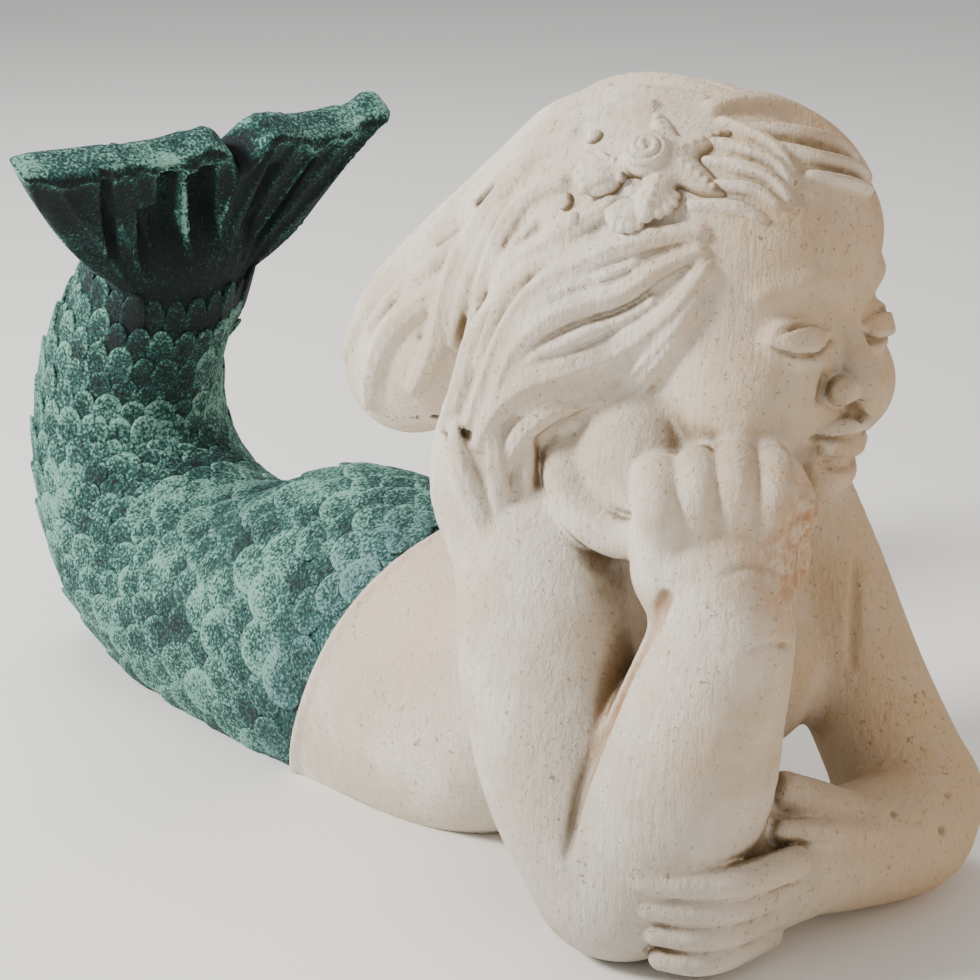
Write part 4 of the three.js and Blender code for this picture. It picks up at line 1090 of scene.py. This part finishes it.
def inputSocket(tree, name, kind, value=None):
    socket = tree.interface.new_socket(name, in_out="INPUT", socket_type=kind)
    if value is not None:
        socket.default_value = value
    return socket.identifier


def addNode(tree, kind, inputs=None, **settings):
    # one node with its settings, and its values or links
    made = tree.nodes.new(kind)
    for name, value in settings.items():
        setattr(made, name, value)
    for socket, value in (inputs or {}).items():
        if isinstance(value, bpy.types.NodeSocket):
            tree.links.new(value, made.inputs[socket])
        else:
            made.inputs[socket].default_value = value
    return made


def linear(code, alpha=1.0):
    # an sRGB hex colour as the linear values that shaders read
    parts = [int(code[i:i + 2], 16) / 255 for i in (1, 3, 5)]
    values = [c / 12.92 if c <= 0.04045 else ((c + 0.055) / 1.055) ** 2.4 for c in parts]
    return (*values, alpha)


def scaleTree(material):
    tree = bpy.data.node_groups.new("scales on the tail", "GeometryNodeTree")
    tree.is_modifier = True
    names = {"Geometry": inputSocket(tree, "Geometry", "NodeSocketGeometry")}
    names["Shell"] = inputSocket(tree, "Shell", "NodeSocketObject")
    names["Length"] = inputSocket(tree, "Length", "NodeSocketFloat", 1.0)
    names["Breadth"] = inputSocket(tree, "Breadth", "NodeSocketFloat", 1.0)
    names["Lift"] = inputSocket(tree, "Lift", "NodeSocketFloat", 3.0)
    names["Unevenness"] = inputSocket(tree, "Unevenness", "NodeSocketFloat", 0.12)
    names["Seed"] = inputSocket(tree, "Seed", "NodeSocketInt", 7)
    tree.interface.new_socket("Geometry", in_out="OUTPUT", socket_type="NodeSocketGeometry")
    given = tree.nodes.new("NodeGroupInput").outputs
    attribute = {}
    for name in ("outward", "along", "reach"):
        attribute[name] = addNode(tree, "GeometryNodeInputNamedAttribute", {"Name": name},
                                  data_type="FLOAT_VECTOR")
    tilt = addNode(tree, "FunctionNodeRandomValue", {
        "Min": (-0.06, -0.05, -0.12), "Max": (0.06, 0.05, 0.12), "Seed": given["Seed"],
    }, data_type="FLOAT_VECTOR")
    turn = addNode(tree, "FunctionNodeAxesToRotation", {
        "Primary Axis": attribute["outward"].outputs[0],
        "Secondary Axis": attribute["along"].outputs[0],
    }, primary_axis="Z", secondary_axis="X")
    low = addNode(tree, "ShaderNodeMath", {0: 1.0, 1: given["Unevenness"]}, operation="SUBTRACT")
    high = addNode(tree, "ShaderNodeMath", {0: 1.0, 1: given["Unevenness"]}, operation="ADD")
    uneven = addNode(tree, "FunctionNodeEulerToRotation", {0: tilt.outputs[0]})
    turn = addNode(tree, "FunctionNodeRotateRotation", {
        0: turn.outputs[0], 1: uneven.outputs[0]}, rotation_space="LOCAL")
    wobble = addNode(tree, "FunctionNodeRandomValue", {
        "Min": low.outputs[0], "Max": high.outputs[0], "Seed": given["Seed"],
    }, data_type="FLOAT")
    sizes = addNode(tree, "ShaderNodeCombineXYZ", {
        "X": given["Length"], "Y": given["Breadth"], "Z": given["Lift"]})
    reach = addNode(tree, "ShaderNodeVectorMath", {
        0: attribute["reach"].outputs[0], 1: sizes.outputs[0]}, operation="MULTIPLY")
    uneven = addNode(tree, "ShaderNodeVectorMath", {
        0: reach.outputs[0], "Scale": wobble.outputs[1]}, operation="SCALE")
    shell = addNode(tree, "GeometryNodeObjectInfo", {"Object": given["Shell"]})
    laid = addNode(tree, "GeometryNodeInstanceOnPoints", {
        "Points": given["Geometry"], "Instance": shell.outputs["Geometry"],
        "Rotation": turn.outputs[0], "Scale": uneven.outputs[0]})
    tint = addNode(tree, "FunctionNodeRandomValue", {"Seed": given["Seed"]}, data_type="FLOAT")
    tinted = addNode(tree, "GeometryNodeStoreNamedAttribute", {
        "Geometry": laid.outputs[0], "Name": "tint", "Value": tint.outputs[1],
    }, data_type="FLOAT", domain="INSTANCE")
    real = addNode(tree, "GeometryNodeRealizeInstances", {"Geometry": tinted.outputs[0]})
    smooth = addNode(tree, "GeometryNodeSetShadeSmooth", {"Geometry": real.outputs[0]})
    painted = addNode(tree, "GeometryNodeSetMaterial", {"Geometry": smooth.outputs[0], "Material": material})
    result = tree.nodes.new("NodeGroupOutput")
    tree.links.new(painted.outputs[0], result.inputs[0])
    return tree, names


# Materials. Pattern sizes are real millimetres, and the frame is in metres.
def perMillimetre(size):
    return 1000.0 / size


# The nodes that the finishes are wired from: the kind, its sockets in the order that values are
# given, the output that is read, and its settings
wiring = dict(
    mix=("ShaderNodeMix", (0, 6, 7), 2, dict(data_type="RGBA")),
    share=("ShaderNodeMapRange", ("Value", "From Min", "From Max", "To Max"), 0,
           dict(interpolation_type="SMOOTHSTEP")),
    grain=("ShaderNodeTexNoise", ("Vector", "Scale", "Detail", "Roughness"), 0, {}),
    add=("ShaderNodeMath", (0, 1), 0, dict(operation="ADD")),
    subtract=("ShaderNodeMath", (0, 1), 0, dict(operation="SUBTRACT")),
    times=("ShaderNodeMath", (0, 1), 0, dict(operation="MULTIPLY")),
    distance=("ShaderNodeVectorMath", (0, 1), "Value", dict(operation="DISTANCE")),
    along=("ShaderNodeVectorMath", (0, 1), "Value", dict(operation="DOT_PRODUCT")),
    stretch=("ShaderNodeMapping", ("Vector", "Scale"), 0, {}),
    object=("ShaderNodeTexCoord", (), "Object", {}),
)
for surface in ("hollow", "ridge", "crease", "damp", "painted", "rim", "tint"):
    wiring[surface] = ("ShaderNodeAttribute", (), "Fac",
                       dict(attribute_name=surface, attribute_type="GEOMETRY"))


def wired(tree, name, *values):
    kind, sockets, output, settings = wiring[name]
    return addNode(tree, kind, dict(zip(sockets, values)), **settings).outputs[output]


def newMaterial(name):
    material = bpy.data.materials.new(name)
    material.use_nodes = True
    material.node_tree.nodes.clear()
    return material, material.node_tree


# Cast concrete under a worn limewash: chalky and quite matt, cream where the wash is thick, grey
# where rain has taken it down to the cement, ochre that is partly stain and partly painted warm shade
# on the side turned from the key light, brown dust and painted shade in the carving.
limewash = dict(
    cream="#D3C5B1", chalk="#E8E0D3", ochre="#BF9E72", cement="#ABA8A2", dustAndShadeBrown="#75603F",
    rust="#A8713F", blush="#D2B8A4", streak="#C9BBA6",
    armFold=(-0.068, -0.190, 0.112),
    # the way that the ochre stain and the painted warm shade deepen, away from the key light
    across=(0.743, -0.669, 0.0),
    fistSide=(-0.022, -0.228, 0.150),
    elbow=(-0.050, -0.175, 0.010),
    waistSide=(-0.050, -0.060, 0.095),
    # patterns: how far apart in millimetres, how many finer layers, how strong those are
    patches=(perMillimetre(45), 4, 0.6), clouds=(perMillimetre(30), 5, 0.65),
    blotches=(perMillimetre(8), 5, 0.7), dustAndShadeClouds=(perMillimetre(5), 4, 0.7),
    sandGrains=(perMillimetre(2.6), 3, 0.6), bareSpots=(perMillimetre(38), 3, 0.6),
    brushMarks=(perMillimetre(2.2), 3, 0.6), sand=(perMillimetre(1.1), 3, 0.6),
    lumps=(perMillimetre(6), 3, 0.5), holes=(perMillimetre(2.2), 1, 0.5), raggedEdge=(perMillimetre(3), 3),
    roughness=0.88, reliefDepth=0.0012,
)


# Verdigris over dark bottle green: the dark coat stays in the hollows, and a dry brush has left
# pale mint grains on everything that stands proud.
verdigris = dict(
    dark="#041417", green="#1B4F4A", mint="#84B7A5", slate="#6A8994",
    grit=(perMillimetre(1.3), 3, 0.65), clouds=(perMillimetre(26), 3, 0.6),
    slateClouds=(perMillimetre(22), 3), lumps=(perMillimetre(5), 2, 0.5), sand=(perMillimetre(1.6), 4, 0.65),
    roughness=0.8, reliefDepth=0.0016,
)


def near(tree, coords, spot, inner, outer):
    # 1 within the inner distance of a spot, 0 from the outer distance on
    return wired(tree, "share", wired(tree, "distance", coords, spot), outer, inner)


def limewashColour(tree, coords, hollowness, proud, creased):
    c = limewash
    hue = {name: linear(c[name]) for name in
           ("cream", "chalk", "ochre", "cement", "dustAndShadeBrown", "rust", "blush", "streak")}
    patches = wired(tree, "grain", coords, *c["patches"])
    colour = wired(tree, "mix", wired(tree, "share", patches, 0.4, 0.65), hue["cream"], hue["chalk"])
    # ochre towards her left, in clouds: partly a stain, partly painted warm shade on the side turned from the
    # key light
    toRight = wired(tree, "along", coords, c["across"])
    clouds = wired(tree, "subtract", wired(tree, "grain", coords, *c["clouds"]), 0.5)
    ochreStainAndWarmShade = wired(tree, "add", toRight, wired(tree, "times", clouds, 0.18))
    colour = wired(tree, "mix", wired(tree, "share", ochreStainAndWarmShade, 0.05, 0.18, 0.8), colour, hue["ochre"])
    # bare cement at the elbow, a blush at the waist
    cool = wired(tree, "times", near(tree, coords, c["elbow"], 0.02, 0.12), 0.6)
    colour = wired(tree, "mix", cool, colour, hue["cement"])
    blushed = wired(tree, "times", near(tree, coords, c["waistSide"], 0.01, 0.08),
                    wired(tree, "share", patches, 0.3, 0.6))
    colour = wired(tree, "mix", blushed, colour, hue["blush"])
    # rust at the side of the fist and in the fold of the arm
    blotches = wired(tree, "share", wired(tree, "grain", coords, *c["blotches"]), 0.36, 0.6, 0.9)
    stain = wired(tree, "times", near(tree, coords, c["fistSide"], 0.006, 0.036), blotches)
    colour = wired(tree, "mix", stain, colour, hue["rust"])
    seep = wired(tree, "times", near(tree, coords, c["armFold"], 0.02, 0.05),
                 wired(tree, "share", creased, 0.1, 0.6))
    colour = wired(tree, "mix", seep, colour, hue["rust"])
    # the brush: streaks about two millimetres wide, drawn up and down
    drawn = wired(tree, "stretch", coords, (1, 1, 0.12))
    streaks = wired(tree, "grain", drawn, *c["brushMarks"])
    colour = wired(tree, "mix", wired(tree, "share", streaks, 0.35, 0.7, 0.35), colour, hue["streak"])
    # dust and painted shade in the hollows and creases
    uneven = wired(tree, "subtract", wired(tree, "grain", coords, *c["dustAndShadeClouds"]), 0.5)
    dustAndShadeShare = wired(tree, "add", hollowness, wired(tree, "times", uneven, 0.5))
    colour = wired(tree, "mix", wired(tree, "share", dustAndShadeShare, 0.38, 0.95, 0.85), colour, hue["dustAndShadeBrown"])
    colour = wired(tree, "mix", wired(tree, "share", creased, 0.22, 0.9, 0.75), colour, hue["dustAndShadeBrown"])
    # sand grains that show through in places
    grains = wired(tree, "share", wired(tree, "grain", coords, *c["sandGrains"]), 0.60, 0.72)
    bare = wired(tree, "share", wired(tree, "grain", coords, *c["bareSpots"]), 0.42, 0.62, 0.7)
    colour = wired(tree, "mix", wired(tree, "times", grains, bare), colour, hue["dustAndShadeBrown"])
    return wired(tree, "mix", wired(tree, "share", proud, 0.25, 0.75, 0.5), colour, hue["chalk"])


def verdigrisColour(tree, coords, hollowness, proud, behind, damp):
    c = verdigris
    clouds = wired(tree, "subtract", wired(tree, "grain", coords, *c["clouds"]), 0.5)
    level = wired(tree, "add", wired(tree, "grain", coords, *c["grit"]),
                  wired(tree, "times", clouds, 0.5))
    level = wired(tree, "add", level, wired(tree, "times", proud, 0.26))
    level = wired(tree, "subtract", level, wired(tree, "times", hollowness, 0.34))
    # painted shade takes the paint down towards its dark coat
    level = wired(tree, "subtract", level, wired(tree, "times", damp, 0.17))
    coat = wired(tree, "mix", wired(tree, "share", level, 0.36, 0.58), linear(c["dark"]), linear(c["green"]))
    brushed = wired(tree, "mix", behind, linear(c["mint"]), linear(c["slate"]))
    return wired(tree, "mix", wired(tree, "share", level, 0.54, 0.74, 0.9), coat, brushed)


def finishShader(tree, colour, roughness, height, distance):
    bump = addNode(tree, "ShaderNodeBump", {"Strength": 0.8, "Distance": distance, "Height": height})
    shader = addNode(tree, "ShaderNodeBsdfPrincipled", {
        "Base Color": colour, "Metallic": 0.0, "Roughness": roughness, "IOR": 1.5, "Normal": bump.outputs[0]})
    addNode(tree, "ShaderNodeOutputMaterial", {"Surface": shader.outputs[0]})


def waistShare(tree, coords):
    # how slaty the paint is: most at the waist line, none from 40 mm behind it
    line = wired(tree, "along", coords, (0.0, 1.0, tail["waistSlope"]))
    start = 0.001 * (tail["waistAtGround"] + place[1])
    clouds = wired(tree, "subtract", wired(tree, "grain", coords, *verdigris["slateClouds"]), 0.5)
    clouded = wired(tree, "add", line, wired(tree, "times", clouds, 0.05))
    return wired(tree, "share", clouded, start + 0.04, start + 0.008, 0.7)


def statueMaterial():
    material, tree = newMaterial("limewashed cast concrete")
    coords = wired(tree, "object")
    hollowness, proud = wired(tree, "hollow"), wired(tree, "ridge")
    washed = limewashColour(tree, coords, hollowness, proud, wired(tree, "crease"))
    green = verdigrisColour(tree, coords, hollowness, proud, waistShare(tree, coords), wired(tree, "damp"))
    # the paint stops at the waist with a slightly ragged edge
    uneven = wired(tree, "subtract", wired(tree, "grain", coords, *limewash["raggedEdge"]), 0.5)
    ragged = wired(tree, "add", wired(tree, "painted"), wired(tree, "times", uneven, 0.5))
    colour = wired(tree, "mix", wired(tree, "share", ragged, 0.4, 0.6), washed, green)
    # sand, lumps, pin holes and brush strokes
    sand = wired(tree, "times", wired(tree, "grain", coords, *limewash["sand"]), 0.35)
    lumps = wired(tree, "times", wired(tree, "grain", coords, *limewash["lumps"]), 0.9)
    holes = wired(tree, "share", wired(tree, "grain", coords, *limewash["holes"]), 0.70, 0.76)
    drawn = wired(tree, "stretch", coords, (1, 1, 0.15))
    strokes = wired(tree, "times", wired(tree, "grain", drawn, *limewash["brushMarks"]), 0.7)
    height = wired(tree, "add", wired(tree, "add", sand, lumps), wired(tree, "times", holes, -0.8))
    height = wired(tree, "add", height, strokes)
    finishShader(tree, colour, limewash["roughness"], height, limewash["reliefDepth"])
    return material


def scaleMaterial():
    material, tree = newMaterial("dry-brushed verdigris on cast concrete")
    coords = wired(tree, "object")
    proud = wired(tree, "add", wired(tree, "times", wired(tree, "rim"), 0.5),
                  wired(tree, "times", wired(tree, "tint"), 0.3))
    green = verdigrisColour(tree, coords, wired(tree, "hollow"), proud, waistShare(tree, coords),
                            wired(tree, "damp"))
    lumps = wired(tree, "times", wired(tree, "grain", coords, *verdigris["lumps"]), 0.8)
    height = wired(tree, "add", wired(tree, "grain", coords, *verdigris["sand"]), lumps)
    finishShader(tree, green, verdigris["roughness"], height, verdigris["reliefDepth"])
    return material


def buildScales(material):
    at, normal, along, rowGap, columnGap = scalePlaces()
    base = bpy.data.meshes.new("scale_places")
    base.from_pydata(toFrame(at).tolist(), [], [])
    reach = np.column_stack([rowGap * scales["overlap"] / 2, columnGap * scales["breadth"] / 2,
                             np.clip(rowGap / scales["pitch"], 0.5, 1.1)]) * 0.001
    for name, values in (("outward", normal), ("along", along), ("reach", reach)):
        kept = base.attributes.new(name, "FLOAT_VECTOR", "POINT")
        kept.data.foreach_set("vector", np.asarray(values, np.float32).ravel())
    figureNow = [*bodyForms(), flukeForm(), *armForms()]
    hollowThere = sum(0.5 * np.clip(1 - fieldAt(figureNow, at + normal * far) / far, 0, 1)
                      for far in (14.0, 34.0))
    keepValues(base, "hollow", hollowThere * 1.1)
    # the painted shade under the fluke and towards the head, on the scales too
    keepValues(base, "damp", paintedShadeShare(at, normal))
    layer = newObject("tail_scales", base)
    shell = newObject("scale_shell", scaleShell())
    tree, names = scaleTree(material)
    modifier = layer.modifiers.new("scales", "NODES")
    modifier.node_group = tree
    modifier[names["Shell"]] = shell
    modifier[names["Length"]] = 1.0
    modifier[names["Breadth"]] = 1.0
    modifier[names["Lift"]] = scales["lift"]
    modifier[names["Unevenness"]] = 0.14
    modifier[names["Seed"]] = 11
    made = bakedMesh(layer)
    bpy.data.objects.remove(shell)
    lowest = placesOf(made)
    lowest[:, 2] = np.maximum(lowest[:, 2], 0.0004)
    made.vertices.foreach_set("co", lowest.astype(np.float32).ravel())
    layer.data = made
    print("scales:", len(at), "of them,", len(made.polygons), "faces, attributes",
          sorted(a.name for a in made.attributes if not a.name.startswith(".")))
    return layer


statueFinish = statueMaterial()
scaleFinish = scaleMaterial()
mermaid.data.materials.clear()
mermaid.data.materials.append(statueFinish)
ornament.data.materials.append(statueFinish)
tailScales = buildScales(scaleFinish)


for piece in (mermaid, ornament, tailScales):
    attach(piece, "root")
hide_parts("mermaid")


# Floor, studio light and camera
studio = dict(
    floor="#F2F1EE", floorRoughness=0.9, floorReach=6.0, sky="#F6F7F9", skyStrength=0.47,
    azimuth=-42, elevation=18, distance=1000, lens=97.297,
    target=(-16.6, 121.6, 130.0),
    # to the right, towards the viewer and up from the target, size, power, colour
    lights=dict(
        key=(-1.3, 0.3, 0.95, 0.4, 40, "#FFFCF7"),
        fill=(1.3, 0.7, 0.5, 1.0, 6, "#FFE3C2"),
        back=(-0.4, -1.1, 1.3, 1.0, 14, "#FFFFFF"),
    ),
)


def buildStudio():
    material, tree = newMaterial("pale matt floor")
    shader = addNode(tree, "ShaderNodeBsdfPrincipled", {
        "Base Color": linear(studio["floor"]), "Roughness": studio["floorRoughness"]})
    addNode(tree, "ShaderNodeOutputMaterial", {"Surface": shader.outputs[0]})
    mesh = bpy.data.meshes.new("floor")
    size = studio["floorReach"]
    corners = [(-size, -size, 0), (size, -size, 0), (size, size, 0), (-size, size, 0)]
    mesh.from_pydata(corners, [], [(0, 1, 2, 3)])
    mesh.materials.append(material)
    floor = newObject("floor", mesh)
    floor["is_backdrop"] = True
    world = bpy.data.worlds.new("studio")
    world.use_nodes = True
    world.node_tree.nodes["Background"].inputs["Color"].default_value = linear(studio["sky"])
    world.node_tree.nodes["Background"].inputs["Strength"].default_value = studio["skyStrength"]
    bpy.context.scene.world = world


def viewAxes():
    a, e = math.radians(studio["azimuth"]), math.radians(studio["elevation"])
    back = Vector((math.sin(a) * math.cos(e), -math.cos(a) * math.cos(e), math.sin(e)))
    right = Vector((math.cos(a), math.sin(a), 0))
    return right, back


def addLight(name, toRight, toViewer, height, size, power, colour):
    right, back = viewAxes()
    aim = Vector(toFrame(np.array(studio["target"], float)))
    level = Vector((back.x, back.y, 0)).normalized()
    data = bpy.data.lights.new(name, "AREA")
    data.shape = "DISK"
    data.size = size
    data.energy = power
    data.color = linear(colour)[:3]
    light = bpy.data.objects.new(name, data)
    bpy.context.scene.collection.objects.link(light)
    light.location = aim + right * toRight + level * toViewer + Vector((0, 0, height))
    light.rotation_mode = "QUATERNION"
    light.rotation_quaternion = (aim - light.location).to_track_quat("-Z", "Y")


def addCamera():
    right, back = viewAxes()
    data = bpy.data.cameras.new("camera")
    data.lens = studio["lens"]
    data.sensor_width = 36
    camera = bpy.data.objects.new("camera", data)
    bpy.context.scene.collection.objects.link(camera)
    camera.location = Vector(toFrame(np.array(studio["target"], float))) + back * (0.001 * studio["distance"])
    camera.rotation_mode = "QUATERNION"
    camera.rotation_quaternion = back.to_track_quat("Z", "Y")
    bpy.context.scene.camera = camera


buildStudio()
for name, light in studio["lights"].items():
    addLight(name, *light)
addCamera()
print("studio ready")

low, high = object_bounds()
